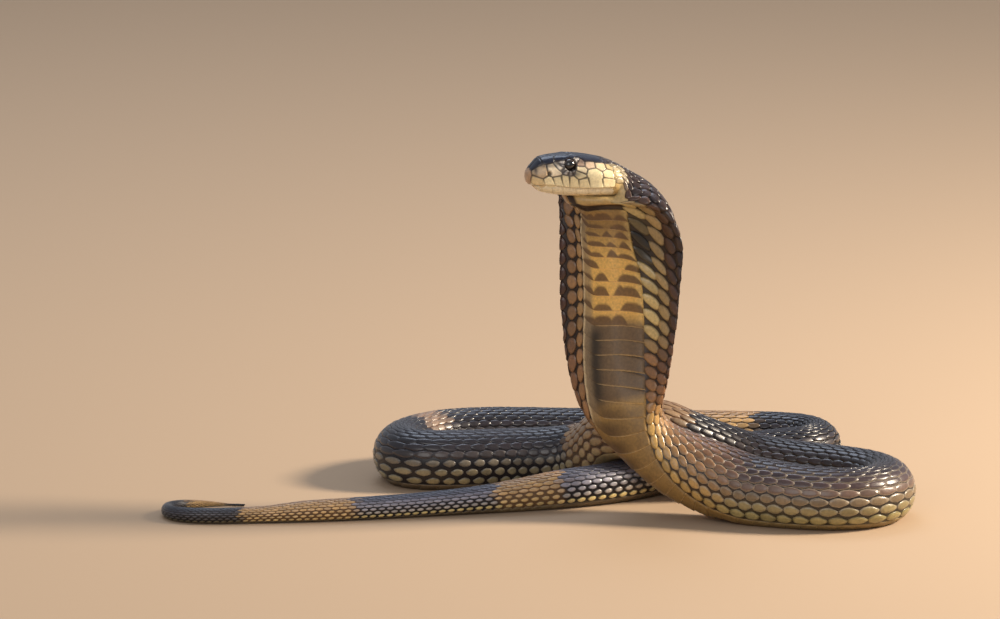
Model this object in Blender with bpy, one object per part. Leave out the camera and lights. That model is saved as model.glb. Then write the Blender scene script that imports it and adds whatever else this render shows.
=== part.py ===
"""A life-size reared cobra with its hood spread, resting on its coiled body.

Sizes are in millimetres and become metres when a mesh is made. X runs to the
viewer's right, Y away from the viewer and Z up, with the belly flats at Z = 0.
"""

import bpy
import numpy as np

MM = 0.001
GAP = 0.3                    # clear space between two lengths that meet

# Place of the whole model: the middle of its box is at X = 0, Y = 0
CENTRE_X = 16.1
CENTRE_Y = 67.15

# Head, measured back from the snout tip
HEAD_YAW = np.radians(17.0)  # turned towards the viewer from a pure profile
SNOUT = np.array((10.9, 22.5, 145.4))
MOUTH_LENGTH = 35.0
NAPE_FULLNESS = 0.9          # how far the nape keeps the run of head and hood
EYE_RADIUS = 2.55
EYE_BACK = 16.8              # eye centre behind the snout tip
EYE_SIDE = 6.15
EYE_UP = 4.2
NOSTRIL_BACK = 6.6
NOSTRIL_UP = 0.6
NOSTRIL_RADIUS = 0.75

# Hood
HOOD_HALF_WIDTH = 29.0
HOOD_CUP = 8.5               # how far the rims curve towards the belly side
WING_HALF_THICKNESS = 1.9
RIDGE_HALF_WIDTH = 13.5      # the throat ridge that carries the belly scutes
SCUTE_LENGTH = 6.2
# Free edges of the first belly plates, which crowd together at the throat
FIRST_EDGES = (9.5, 16.0, 20.5, 24.0, 27.6, 31.4, 35.6, 40.4, 46.2, 52.6, 59.0)
SCUTE_LIFT = 0.55

# Roll of the spread hood, its near side lower, in degrees at distances
HOOD_ROLL = ((0.0, 13.0), (18.0, 13.0), (48.0, 2.0), (80.0, 0.0))
THROAT_DEPTH = 0.35          # extra depth of the throat where it meets the chin
NAPE_SWELL = 3.2             # rise of the nape where it turns down into the hood
NAPE_SWELL_AT = 3.0
ROW_TILT = 0.17              # slope of the belly plates' rows, up to the snake's left
THROAT_SWELL = 2.5           # how far the throat comes forward under the jaw
NECK_SEAT = 6.0              # depth of the hollow where the head sits in the hood
JAW_CLEARANCE = 0.5          # between that swell and the jaw over it

# The throat ridge at distances: how far it stands out, its middle lies towards
# the snake's right and its skin is drawn up to the chin
THROAT = (
    (0.0, 8.0, 7.0, 13.0),
    (5.0, 7.5, 8.5, 10.8),
    (10.0, 7.0, 9.5, 4.5),
    (20.0, 5.5, 9.5, 1.5),
    (45.0, 3.5, 6.0, 0.0),
    (70.0, 2.5, 4.0, 0.0),
    (95.0, 1.0, 1.5, 0.0),
    (110.0, 0.0, 0.0, 0.0),
)
# The snake's right wing at distances: how much further it reaches than the
# left one and comes up behind the jaw
FAR_WING = (
    (0.0, 0.0, 6.5),
    (3.0, -2.5, 6.5),
    (6.0, -2.5, 6.3),
    (9.0, 3.5, 4.4),
    (12.0, 7.5, 2.4),
    (20.0, 6.5, 0.8),
    (32.0, 2.8, 0.3),
    (48.0, 0.0, 0.0),
    (75.0, -1.5, 0.0),
    (95.0, 0.0, 0.0),
)

RING_SIDES = 20
HOOD_SIDES = 40
RING_STEP = 7.0

# Share of the half height that lies below the centre, where the belly is flat
BELLY_FLAT = 0.86

# The route from the back of the head to the tail tip: X, Y and the height of
# the centre for the part that is reared, then X, Y and the lift of the belly
# off the floor for the part that lies.
REARED = (
    (51.0, 32.0, 136.5),
    (55.8, 33.0, 131.0),
    (57.4, 33.4, 123.5),
    (56.4, 33.2, 113.5),
    (54.8, 33.0, 101.0),
    (53.6, 33.0, 87.0),
    (52.6, 32.5, 73.0),
    (52.4, 31.0, 58.5),
    (54.2, 29.0, 45.5),
    (59.0, 27.0, 35.2),
    (67.0, 24.5, 27.4),
    (79.0, 20.5, 21.0),
    (92.0, 15.8, 16.4),
)
LYING = (
    (106.0, 10.5, 0.0),
    (124.0, 3.6, 0.0),
    (142.0, 1.5, 0.0),
    (155.5, 7.5, 0.0),
    (161.7, 20.0, 0.0),
    (158.5, 34.0, 0.0),
    (147.5, 45.0, 0.0),
    (133.0, 53.0, 0.0),
    (119.0, 59.0, 0.6),
    (107.0, 62.5, 2.2),
    (97.0, 62.5, 5.2),
    (87.0, 60.5, 9.2),
    (76.5, 58.0, 14.0),
    (67.0, 57.0, 17.9),
    (58.5, 56.8, 18.4),
    (51.3, 59.5, 17.7),
    (45.2, 67.0, 12.2),
    (38.5, 75.0, 4.9),
    (30.0, 81.0, 1.9),
    (19.5, 83.0, 0.5),
    (7.0, 83.0, 0.0),
    (-8.0, 80.5, 0.0),
    (-25.0, 79.0, 0.0),
    (-37.5, 82.5, 0.0),
    (-42.3, 93.0, 0.0),
    (-38.5, 109.0, 0.0),
    (-27.0, 123.5, 0.0),
    (-8.0, 132.0, 0.0),
    (20.0, 133.5, 0.0),
    (60.0, 133.0, 0.0),
    (100.0, 132.0, 0.0),
    (121.0, 131.0, 0.0),
    (132.0, 126.5, 0.0),
    (136.8, 115.5, 0.0),
    (131.5, 104.8, 0.0),
    (121.0, 100.5, 0.0),
    (109.5, 96.0, 0.0),
    (97.0, 92.5, 0.0),
    (86.5, 89.5, 0.0),
    (77.5, 82.5, 0.0),
    (68.5, 71.5, 0.0),
    (59.0, 60.5, 0.0),
    (43.0, 49.0, 0.0),
    (27.0, 41.5, 0.0),
    (8.0, 34.5, 0.0),
    (-16.7, 27.5, 0.0),
    (-40.0, 21.5, 0.0),
    (-62.0, 16.5, 0.0),
    (-86.0, 12.5, 0.0),
    (-108.4, 10.0, 0.0),
    (-124.0, 9.8, 0.0),
    (-135.0, 14.0, 0.0),
    (-139.5, 23.0, 0.0),
    (-136.5, 33.5, 0.0),
    (-127.0, 40.0, 0.0),
    (-116.5, 42.0, 0.0),
    (-107.3, 41.0, 0.0),
)

# Way the back faces along the reared part, at distances from the head
BACK_FACES = (
    (0.0, (0.60, 0.45, 0.66)),
    (8.0, (0.60, 0.72, 0.35)),
    (18.0, (0.55, 0.83, 0.06)),
    (30.0, (0.53, 0.85, 0.0)),
    (65.0, (0.52, 0.85, 0.0)),
    (92.0, (0.50, 0.86, 0.10)),
    (106.0, (0.46, 0.76, 0.45)),
    (122.0, (0.30, 0.45, 0.85)),
    (140.0, (0.10, 0.12, 0.98)),
    (152.0, (0.0, 0.0, 1.0)),
)

# Half width and half height of the body at distances from the head
GIRTH = (
    (0.0, 8.8, 7.6),
    (8.0, 9.2, 7.6),
    (30.0, 12.0, 8.5),
    (60.0, 12.8, 9.5),
    (85.0, 12.4, 10.6),
    (97.0, 11.8, 11.6),
    (112.0, 12.2, 12.9),
    (130.0, 13.2, 14.8),
    (148.0, 13.4, 15.6),
    (165.0, 13.1, 14.9),
    (190.0, 12.6, 13.7),
    (215.0, 12.4, 13.3),
    (300.0, 12.3, 13.3),
    (440.0, 12.3, 13.3),
    (500.0, 12.1, 13.0),
    (560.0, 11.7, 12.5),
    (650.0, 11.0, 11.8),
    (720.0, 10.4, 11.2),
    (770.0, 9.3, 10.0),
    (801.0, 8.5, 9.1),
    (827.0, 7.9, 8.5),
    (845.0, 6.9, 7.3),
    (865.0, 5.7, 6.1),
    (889.0, 5.0, 5.4),
    (936.0, 4.4, 4.8),
    (958.0, 3.4, 3.7),
    (986.0, 3.1, 3.4),
    (1019.0, 1.9, 2.1),
    (1039.0, 0.55, 0.6),
)

# How far the hood is spread, from 0 to 1, at distances from the head
SPREAD = (
    (0.0, 0.30),
    (4.0, 0.56),
    (9.0, 0.80),
    (16.0, 0.95),
    (26.0, 1.0),
    (48.0, 1.0),
    (60.0, 0.95),
    (75.0, 0.82),
    (85.0, 0.66),
    (93.0, 0.47),
    (102.0, 0.23),
    (112.0, 0.06),
    (122.0, 0.0),
    (130.0, 0.0),
)


def spline(knots, values, at):
    """Natural cubic spline through values at knots."""
    knots = np.asarray(knots, float)
    values = np.asarray(values, float).reshape(len(knots), -1)
    at = np.atleast_1d(np.asarray(at, float))
    step = np.diff(knots)
    count = len(knots)
    matrix = np.eye(count)
    right = np.zeros_like(values)
    for i in range(1, count - 1):
        matrix[i, i - 1] = step[i - 1]
        matrix[i, i] = 2.0 * (step[i - 1] + step[i])
        matrix[i, i + 1] = step[i]
        rise = (values[i + 1] - values[i]) / step[i] - (values[i] - values[i - 1]) / step[i - 1]
        right[i] = 6.0 * rise
    bend = np.linalg.solve(matrix, right)
    cell = np.clip(np.searchsorted(knots, at, side="right") - 1, 0, count - 2)
    width = step[cell][:, None]
    low = (knots[cell + 1] - at)[:, None]
    high = (at - knots[cell])[:, None]
    return (
        bend[cell] * low ** 3 / (6.0 * width)
        + bend[cell + 1] * high ** 3 / (6.0 * width)
        + (values[cell] / width - bend[cell] * width / 6.0) * low
        + (values[cell + 1] / width - bend[cell + 1] * width / 6.0) * high
    )


def eased(table, at):
    """Values of a table of distances, joined smoothly with no overshoot."""
    table = [(row[0], np.ravel(row[1:])) for row in table]
    knots = np.array([row[0] for row in table])
    values = np.array([row[1] for row in table])
    at = np.clip(np.atleast_1d(np.asarray(at, float)), knots[0], knots[-1])
    slope = np.diff(values, axis=0) / np.diff(knots)[:, None]
    same = slope[:-1] * slope[1:] > 0
    middle = np.where(same, 2.0 * slope[:-1] * slope[1:] / (slope[:-1] + slope[1:] + 1e-12), 0.0)
    ends = np.vstack([slope[:1], middle, slope[-1:]])
    cell = np.clip(np.searchsorted(knots, at, side="right") - 1, 0, len(knots) - 2)
    width = (knots[cell + 1] - knots[cell])[:, None]
    t = (at - knots[cell])[:, None] / width
    return (
        (2 * t ** 3 - 3 * t ** 2 + 1) * values[cell]
        + (t ** 3 - 2 * t ** 2 + t) * width * ends[cell]
        + (-2 * t ** 3 + 3 * t ** 2) * values[cell + 1]
        + (t ** 3 - t ** 2) * width * ends[cell + 1]
    )


class Route:
    """The centre line: distance along it gives a place and three directions."""

    def __init__(self):
        plan = [np.array(point) for point in REARED]
        plan += [np.array(point) for point in LYING]
        plan = np.array(plan)
        lying = np.arange(len(plan)) >= len(REARED)
        chord = np.concatenate([[0.0], np.cumsum(np.linalg.norm(np.diff(plan, axis=0), axis=1))])
        for _ in range(3):
            points = plan.copy()
            points[lying, 2] += BELLY_FLAT * eased(GIRTH, chord[lying])[:, 1]
            fine = np.linspace(0.0, chord[-1], 4000)
            dense = spline(chord, points, fine)
            run = np.concatenate([[0.0], np.cumsum(np.linalg.norm(np.diff(dense, axis=0), axis=1))])
            chord = np.interp(chord, fine, run)
        self.knots = chord
        self.points = points
        self.length = float(run[-1])
        self.belly_down = float(chord[len(REARED)])
        self.lift = np.where(lying, plan[:, 2], 0.0)

    def place(self, s):
        place = spline(self.knots, self.points, s)
        low = np.atleast_1d(s) > self.belly_down
        lift = np.maximum(spline(self.knots, self.lift, s)[:, 0], 0.0)
        lift = np.where(lift < 0.02, 0.0, lift)
        ground = BELLY_FLAT * eased(GIRTH, s)[:, 1] + lift
        place[:, 2] = np.where(low, ground, place[:, 2])
        return place

    def directions(self, s):
        """Headward, back and right-hand directions at each distance."""
        s = np.atleast_1d(np.asarray(s, float))
        ahead = spline(self.knots, self.points, s - 0.5) - spline(self.knots, self.points, s + 0.5)
        back = eased([(row[0], *row[1]) for row in BACK_FACES], s)
        low = s > BACK_FACES[-1][0]
        flat = low & (np.abs(ahead[:, 2]) < 0.02)
        ahead[flat, 2] = 0.0
        ahead /= np.linalg.norm(ahead, axis=1)[:, None]
        back -= ahead * np.sum(back * ahead, axis=1)[:, None]
        back /= np.linalg.norm(back, axis=1)[:, None]
        right = np.cross(ahead, back)
        return ahead, back, right


ROUTE = Route()


def section(s, turn):
    """Outline of the body: offsets to the right, back and ahead at each turn.

    A turn of 0 is the middle of the back and of pi the middle of the belly.
    """
    width, height = eased(GIRTH, s)[0]
    spread = eased(SPREAD, s)[0, 0] if s < SPREAD[-1][0] else 0.0
    half = width + spread * (HOOD_HALF_WIDTH - width)
    side = np.sin(turn)
    up = np.cos(turn)
    reach, lead = eased(FAR_WING, s)[0]
    across = (half + reach * np.clip(side, 0.0, 1.0)) * side
    # A tube when closed, a thin wing on each side of a ridge when spread
    stand, aside, draw = eased(THROAT, s)[0]
    ridge = np.exp(-np.abs((across - aside) / RIDGE_HALF_WIDTH) ** 3.0)
    spine = np.exp(-np.abs(across / (0.8 * RIDGE_HALF_WIDTH)) ** 2.0)
    core = np.where(up < 0.0, ridge, 0.55 * spine)
    thick = WING_HALF_THICKNESS + (height - WING_HALF_THICKNESS) * core
    depth = height * (1.0 - spread) + thick * spread
    cup = -spread * HOOD_CUP * np.abs(side) ** 2.2
    deeper = 1.0 + THROAT_DEPTH * np.exp(-(max(s, 0.0) / 16.0) ** 2) * np.clip(-up, 0.0, 1.0)
    throat = ridge * np.clip(-2.0 * up, 0.0, 1.0)
    nape = NAPE_SWELL * np.exp(-((s - NAPE_SWELL_AT) / 6.0) ** 2) * np.clip(0.35 + up, 0.0, 1.0)
    rise = up * depth * deeper + cup - stand * throat + nape
    roll = np.tan(np.radians(eased(HOOD_ROLL, s)[0, 0]))
    run = roll * across * (1.0 - ridge) + lead * np.clip(side, 0.0, 1.0) ** 1.5
    run = run + (draw - spread * ROW_TILT * (across - aside)) * throat
    if s > ROUTE.belly_down - 12.0:
        rise = np.maximum(rise, -BELLY_FLAT * height)
    return across, rise, run


def plate_edges(last):
    """Distances of the belly plates' free edges on the reared part."""
    edges = list(FIRST_EDGES)
    while edges[-1] < last:
        edges.append(edges[-1] + SCUTE_LENGTH)
    return edges


def scute_lift(s, turn, across):
    """Height of the belly plates of the reared part over the skin."""
    if s > ROUTE.belly_down - 22.0 or s < FIRST_EDGES[0]:
        return 0.0 * turn
    edges = plate_edges(ROUTE.belly_down)
    part = np.interp(s, edges, range(len(edges))) % 1.0
    width = eased(GIRTH, s)[0, 0]
    aside = eased(THROAT, s)[0, 1]
    inside = (np.abs(across - aside) < 0.86 * width) & (np.cos(turn) < 0.0)
    fade = np.clip((ROUTE.belly_down - 22.0 - s) / 10.0, 0.0, 1.0)
    return np.where(inside, SCUTE_LIFT * part * fade, 0.0)


def turns(sides, spread):
    """Angles round a ring, closer together over the throat ridge when spread."""
    even = np.arange(sides) / sides * 2.0 * np.pi
    return even + spread * 0.30 * np.sin(2.0 * even)


def ring(s, sides):
    """World points round the body at distance s."""
    spread = eased(SPREAD, s)[0, 0] if s < SPREAD[-1][0] else 0.0
    turn = turns(sides, -spread)
    across, rise, run = section(s, turn)
    rise = rise - scute_lift(s, turn, across)
    ahead, back, right = ROUTE.directions(s)
    return (
        ROUTE.place(s)
        + across[:, None] * right
        + rise[:, None] * back
        + run[:, None] * ahead
    )


def mesh_object(name, points, faces, look):
    mesh = bpy.data.meshes.new(name)
    shift = np.array((CENTRE_X, CENTRE_Y, 0.0))
    mesh.from_pydata([tuple(p) for p in (np.asarray(points) - shift) * MM], [], faces)
    mesh.materials.append(look)
    mesh.update()
    obj = bpy.data.objects.new(name, mesh)
    bpy.context.scene.collection.objects.link(obj)
    for polygon in mesh.polygons:
        polygon.use_smooth = True
    return obj


def loft(name, rings, look, first_seat=None, last_seat=None):
    """One closed body through rings that have the same number of points.

    An end with a seat closes over that point, and one without is flat.
    """
    sides = len(rings[0])
    points = np.concatenate(rings)
    faces = []
    for row in range(len(rings) - 1):
        for i in range(sides):
            j = (i + 1) % sides
            a = row * sides
            b = a + sides
            faces.append((a + i, b + i, b + j, a + j))
    last = (len(rings) - 1) * sides
    ends = (
        (list(range(sides)), first_seat),
        ([last + i for i in reversed(range(sides))], last_seat),
    )
    for rim, seat in ends:
        if seat is None:
            faces.append(tuple(rim))
            continue
        middle = len(points)
        points = np.vstack([points, seat])
        faces += [(a, b, middle) for a, b in zip(rim, rim[1:] + rim[:1])]
    return mesh_object(name, points, faces, look)


def material(name, colour, roughness):
    made = bpy.data.materials.new(name)
    made.use_nodes = True
    shader = made.node_tree.nodes["Principled BSDF"]
    shader.inputs["Base Color"].default_value = (*colour, 1.0)
    shader.inputs["Roughness"].default_value = roughness
    shader.inputs["Metallic"].default_value = 0.0
    made.diffuse_color = (*colour, 1.0)
    return made


def body_length(name, start, end, sides, look):
    """A length of the lying body or tail between two distances."""
    count = max(2, int(round((end - start) / RING_STEP)) + 1)
    stops = np.linspace(start + GAP / 2, end - GAP / 2, count)
    return loft(name, [ring(s, sides) for s in stops], look)


def reared_stops(start, end):
    """Distances of the rings, with two at each belly plate's free edge."""
    stops = [start + GAP / 2, end - GAP / 2]
    edges = plate_edges(end)
    for edge, after in zip(edges, edges[1:]):
        if start + 1.0 < edge < end - 1.0:
            stops += [edge - 0.12, edge + 0.12]
        middle = 0.5 * (edge + after)
        if start + 1.0 < middle < end - 1.0:
            stops.append(middle)
    if start < 1.0:
        stops += [3.0, 6.0]
    return sorted(stops)


def head_frame():
    ahead = np.array((-np.cos(HEAD_YAW), -np.sin(HEAD_YAW), 0.0))
    up = np.array((0.0, 0.0, 1.0))
    right = np.cross(ahead, up)
    return ahead, up, right


# Outline of the head at distances back from the snout tip: half width, height
# of the crown and height of the chin over and under the level of the tip,
# height of the widest place
HEAD_OUTLINE = (
    (0.0, 2.4, 0.9, -2.6, -0.8),
    (0.8, 4.2, 2.2, -4.2, -0.8),
    (2.5, 5.7, 4.2, -5.8, -0.8),
    (6.0, 7.2, 7.2, -7.3, -1.0),
    (11.0, 8.5, 7.9, -8.5, -1.6),
    (17.0, 9.9, 8.0, -9.3, -2.2),
    (23.0, 11.4, 7.6, -9.8, -2.8),
    (29.0, 12.6, 6.5, -10.1, -3.2),
    (34.0, 12.7, 5.0, -10.2, -3.4),
    (38.0, 11.9, 3.4, -10.3, -3.6),
)
MOUTH_LINE = (
    (0.0, -4.5),
    (3.0, -4.1),
    (7.5, -3.9),
    (16.0, -5.1),
    (24.0, -5.4),
    (35.0, -5.2),
)


def head_section(back, turn):
    """Offsets of the head's outline, to its right and up, at each turn."""
    width, crown, chin, widest = eased(HEAD_OUTLINE, back)[0]
    side = np.sin(turn)
    up = np.cos(turn)
    boxy = 0.72
    across = width * np.sign(side) * np.abs(side) ** boxy
    above = widest + (crown - widest) * np.abs(up) ** 0.80
    below = widest - (widest - chin) * np.abs(up) ** 0.85
    height = np.where(up >= 0.0, above, below)
    # The canthus: a shelf from the snout over the eye
    across *= 1.0 - 0.10 * np.exp(-((height - 0.62 * crown) / 2.0) ** 2) * np.clip(back / 10.0, 0.0, 1.0)
    return across, height


def head_ring(back, turn, part):
    across, height = head_section(back, turn)
    if part != "whole":
        mouth = eased(MOUTH_LINE, back)[0, 0]
        near = np.exp(-((height - mouth) / 1.3) ** 2)
        if part == "upper":
            across = across * (1.0 + 0.035 * near)
            height = np.maximum(height, mouth + GAP / 2)
        else:
            across = across * (0.955 - 0.02 * near)
            height = np.minimum(height, mouth - GAP / 2)
    ahead, up, right = head_frame()
    return SNOUT - back * ahead + across[:, None] * right + height[:, None] * up


def neck_seat(s):
    """Middle of the hollow in the hood's top where the head sits."""
    return ring(s, 28).mean(axis=0) - NECK_SEAT * ROUTE.directions(0.0)[0]


def build_head(skin):
    sides = 28
    turn = turns(sides, 0.0)
    neck = ring(-GAP / 2, sides)
    nape = head_ring(MOUTH_LENGTH + 1.5, turn, "whole")
    # The nape leaves the hood and meets the head along the run of each
    reach = NAPE_FULLNESS * np.linalg.norm(nape - neck, axis=1)[:, None]
    leave = reach * (neck - ring(1.0, sides)) / (1.0 + GAP / 2)
    meet = reach * (head_ring(MOUTH_LENGTH + 0.5, turn, "whole") - nape)
    ahead, up, _ = head_frame()
    below = np.clip(-np.cos(turn), 0.0, 1.0)[:, None] ** 0.8
    rings = [neck]
    for share in (0.2, 0.4, 0.6, 0.8, 1.0):
        blend = (
            (2 * share ** 3 - 3 * share ** 2 + 1) * neck
            + (share ** 3 - 2 * share ** 2 + share) * leave
            + (3 * share ** 2 - 2 * share ** 3) * nape
            + (share ** 3 - share ** 2) * meet
        )
        blend = blend + THROAT_SWELL * np.sin(np.pi * share) * below * (ahead + 0.1 * up)
        behind = (SNOUT - blend) @ ahead
        under = (below[:, 0] > 0.0) & (share < 1.0) & (behind < MOUTH_LENGTH + 1.0)
        chin = SNOUT[2] + eased(HEAD_OUTLINE, behind)[:, 2] - JAW_CLEARANCE
        blend[under, 2] = np.minimum(blend[under, 2], chin[under])
        rings.append(blend)
    rings.append(head_ring(MOUTH_LENGTH + 0.05, turn, "whole"))
    stops = (35.0, 32.0, 29.0, 26.0, 23.5, 21.0, 19.0, 17.0, 15.0, 12.5, 10.0, 8.0, 6.0, 4.2, 2.6, 1.3, 0.4)
    rings += [head_ring(back, turn, "upper") for back in stops]
    head = loft("head", rings[::-1], skin, last_seat=neck_seat(-GAP / 2))
    jaw_stops = (34.4, 31.0, 27.0, 23.0, 19.0, 15.0, 11.0, 8.0, 5.5, 3.6, 2.4)
    jaw = loft("lower_jaw", [head_ring(back, turn, "lower") for back in jaw_stops[::-1]], skin)
    return head, jaw


def ball(name, centre, radius, segments, rings, look):
    faces = []
    points = [centre + np.array((0.0, 0.0, radius))]
    for row in range(1, rings):
        tip = np.pi * row / rings
        for i in range(segments):
            a = 2.0 * np.pi * i / segments
            offset = np.array((np.sin(tip) * np.cos(a), np.sin(tip) * np.sin(a), np.cos(tip)))
            points.append(centre + radius * offset)
    points.append(centre - np.array((0.0, 0.0, radius)))
    last = len(points) - 1
    for i in range(segments):
        j = (i + 1) % segments
        faces.append((0, 1 + i, 1 + j))
        for row in range(rings - 2):
            a = 1 + row * segments
            faces.append((a + i, a + segments + i, a + segments + j, a + j))
        a = 1 + (rings - 2) * segments
        faces.append((a + j, a + i, last))
    return mesh_object(name, points, faces, look)


def cut(target, cutter):
    """Take cutter out of target and drop it."""
    modifier = target.modifiers.new("cut", "BOOLEAN")
    modifier.operation = "DIFFERENCE"
    modifier.object = cutter
    graph = bpy.context.evaluated_depsgraph_get()
    made = bpy.data.meshes.new_from_object(target.evaluated_get(graph))
    target.modifiers.clear()
    target.data = made
    bpy.data.objects.remove(cutter)


def build_eyes(head, look):
    ahead, up, right = head_frame()
    for name, sign in (("eye_right", 1.0), ("eye_left", -1.0)):
        centre = SNOUT - EYE_BACK * ahead + sign * EYE_SIDE * right + EYE_UP * up
        cut(head, ball("socket", centre, EYE_RADIUS + GAP, 20, 12, look))
        ball(name, centre, EYE_RADIUS, 20, 12, look)
        nostril = SNOUT - NOSTRIL_BACK * ahead + sign * 7.6 * right + NOSTRIL_UP * up
        cut(head, ball("nostril", nostril, NOSTRIL_RADIUS + 0.3, 8, 6, look))


def main():
    for old in list(bpy.data.objects):
        bpy.data.objects.remove(old)
    dark = material("dark_skin", (0.055, 0.042, 0.05), 0.38)
    hood = material("hood_skin", (0.30, 0.20, 0.09), 0.42)
    head_skin = material("head_skin", (0.42, 0.36, 0.24), 0.35)
    eye = material("eye", (0.01, 0.01, 0.012), 0.05)
    head, _ = build_head(head_skin)
    build_eyes(head, eye)

    lengths = (
        ("hood", 0.0, 95.0, HOOD_SIDES, hood),
        ("neck", 95.0, 150.0, 28, hood),
    )
    for name, start, end, sides, look in lengths:
        stops = reared_stops(start, end)
        seat = neck_seat(stops[0]) if start == 0.0 else None
        loft(name, [ring(s, sides) for s in stops], look, first_seat=seat)
    cuts = (150.0, 231.0, 300.0, 358.0, 410.0, 477.0, 560.0, 620.0, 681.0, 740.0, 790.0, 831.0)
    for i, (start, end) in enumerate(zip(cuts[:-1], cuts[1:]), 1):
        body_length(f"torso_{i}", start, end, RING_SIDES, dark)
    tail = (831.0, 880.0, 940.0, 996.0, ROUTE.length)
    for i, (start, end) in enumerate(zip(tail[:-1], tail[1:]), 1):
        body_length(f"tail_{i}", start, end, 14, dark)


main()
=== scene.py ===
"""The looks of a reared cobra: skin, scales, belly plates, eyes and a studio.

Lengths are in millimetres inside the tables and become metres in the meshes.
Distances run along the body: 0 is where the hood starts, the nape and the head's end
come before it, and the tail tip comes last. A lane is a place round the body, counted
in rows of scales from the left edge of the belly.
"""

import bpy
import numpy as np
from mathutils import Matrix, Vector


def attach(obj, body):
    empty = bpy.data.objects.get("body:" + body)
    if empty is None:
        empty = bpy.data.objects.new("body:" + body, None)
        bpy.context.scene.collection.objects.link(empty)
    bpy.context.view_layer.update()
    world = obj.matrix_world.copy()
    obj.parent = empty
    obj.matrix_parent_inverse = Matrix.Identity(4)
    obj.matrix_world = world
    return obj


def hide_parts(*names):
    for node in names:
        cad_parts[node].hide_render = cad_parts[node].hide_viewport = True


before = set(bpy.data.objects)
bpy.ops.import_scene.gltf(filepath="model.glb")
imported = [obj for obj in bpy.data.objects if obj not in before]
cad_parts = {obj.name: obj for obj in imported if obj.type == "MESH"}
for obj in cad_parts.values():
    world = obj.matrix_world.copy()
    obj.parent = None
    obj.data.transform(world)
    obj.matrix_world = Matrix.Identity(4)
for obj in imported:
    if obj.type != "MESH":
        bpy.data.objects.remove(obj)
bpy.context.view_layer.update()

bl_info = {
    "name": "Reared Cobra",
    "version": (1, 0, 0),
    "blender": (4, 5, 0),
    "location": "3D Viewport > Sidebar > Cobra",
    "description": "Dresses the cobra's solids with skin, scales, plates and eyes",
    "category": "Object",
}

MM = 0.001
CENTRE = np.array((16.1, 67.15, 0.0))    # the tables' point over the part's origin
FLESH = [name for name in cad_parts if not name.startswith("eye")]

# Head
HEAD_YAW = np.radians(17.0)
SNOUT = np.array((10.9, 22.5, 145.4))
HEAD_BACK = 36.5                 # where the head's own shape ends and the nape starts
NAPE = 8.0                       # length of the nape between head and hood
NAPE_FULLNESS = 0.9
MOUTH_LENGTH = 35.0
EYE_RADIUS = 2.55
EYE_PLACE = (16.8, 6.15, 4.2)    # back, to the side, up from the snout tip
NOSTRIL_PLACE = (7.7, 1.0)       # back, up
EYE_OPENING = (2.05, 2.5)        # radii of the opening and of the whole skin round it
EYE_RING = 2.95                  # radius of the raised ring round it
EYE_SOCKET_DEPTH = 1.5
BROW_UP = 2.9                    # height of the brow over the eye's middle
NOSTRIL_RADII = (0.55, 1.0)      # of the hole's floor and of its edge
NOSTRIL_RIM = 1.4                # radius of its raised rim
NOSTRIL_DEPTH = 0.85
LIP_OVERHANG = 0.035             # share by which the upper lip stands out
JAW_UNDERCUT = 0.055             # share by which the lower jaw is drawn in under it
JAW_INSET = 0.03                 # share by which all of the lower jaw is narrower
CROWN_PLATES = ("frontal", "parietal", "supraocular", "prefrontal", "internasal")
CROWN_WET = 0.35                 # coat weight of those plates
CHEEK_WET = 0.20                 # coat weight of the head's other plates

# Hood
HOOD_HALF_WIDTH = 29.0
HOOD_CUP = 8.5                   # how far the wings' edges stand in front of the spine
WING_HALF_THICKNESS = 1.9
RIDGE_HALF_WIDTH = 13.5          # of the throat's ridge between the wings
SPINE_RIDGE = 0.55               # share of the ridge's height that the spine keeps
THROAT_DEPTH = 0.35              # share by which the throat is deeper under the chin
THROAT_DEPTH_REACH = 16.0        # how far down that goes
NAPE_SWELL = 3.2                 # height of the swelling on the back of the hood's top
NAPE_SWELL_AT = 3.0
NAPE_SWELL_REACH = 6.0
ROW_TILT = 0.17                  # slope of the throat's plates, down to the right
THROAT_SWELL = 2.5               # how far the throat bulges under the nape
JAW_OVERLAP = 1.0                # how far the throat's skin reaches up inside the jaw
# The throat's ridge at distances: how far it stands out, lies to the right and is
# drawn up towards the head
THROAT = (
    (0.0, 8.0, 7.0, 13.0), (5.0, 7.5, 8.5, 10.8), (10.0, 7.0, 9.5, 4.5),
    (20.0, 5.5, 9.5, 1.5), (45.0, 3.5, 6.0, 0.0),
    (70.0, 2.5, 4.0, 0.0), (95.0, 1.0, 1.5, 0.0), (110.0, 0.0, 0.0, 0.0),
)
# The right wing at distances: how much wider it is, and how far its edge is drawn up
FAR_WING = (
    (0.0, 0.0, 6.5), (3.0, -2.5, 6.5), (6.0, -2.5, 6.3), (9.0, 3.5, 4.4), (12.0, 7.5, 2.4),
    (20.0, 6.5, 0.8), (32.0, 2.8, 0.3),
    (48.0, 0.0, 0.0), (75.0, -1.5, 0.0), (95.0, 0.0, 0.0),
)
# How steeply the right wing is drawn up above the left one at distances, in degrees
HOOD_ROLL = ((0.0, 13.0), (18.0, 13.0), (48.0, 2.0), (80.0, 0.0))
BELLY_FLAT = 0.86                # share of the half height at which the lying belly is flat

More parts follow.
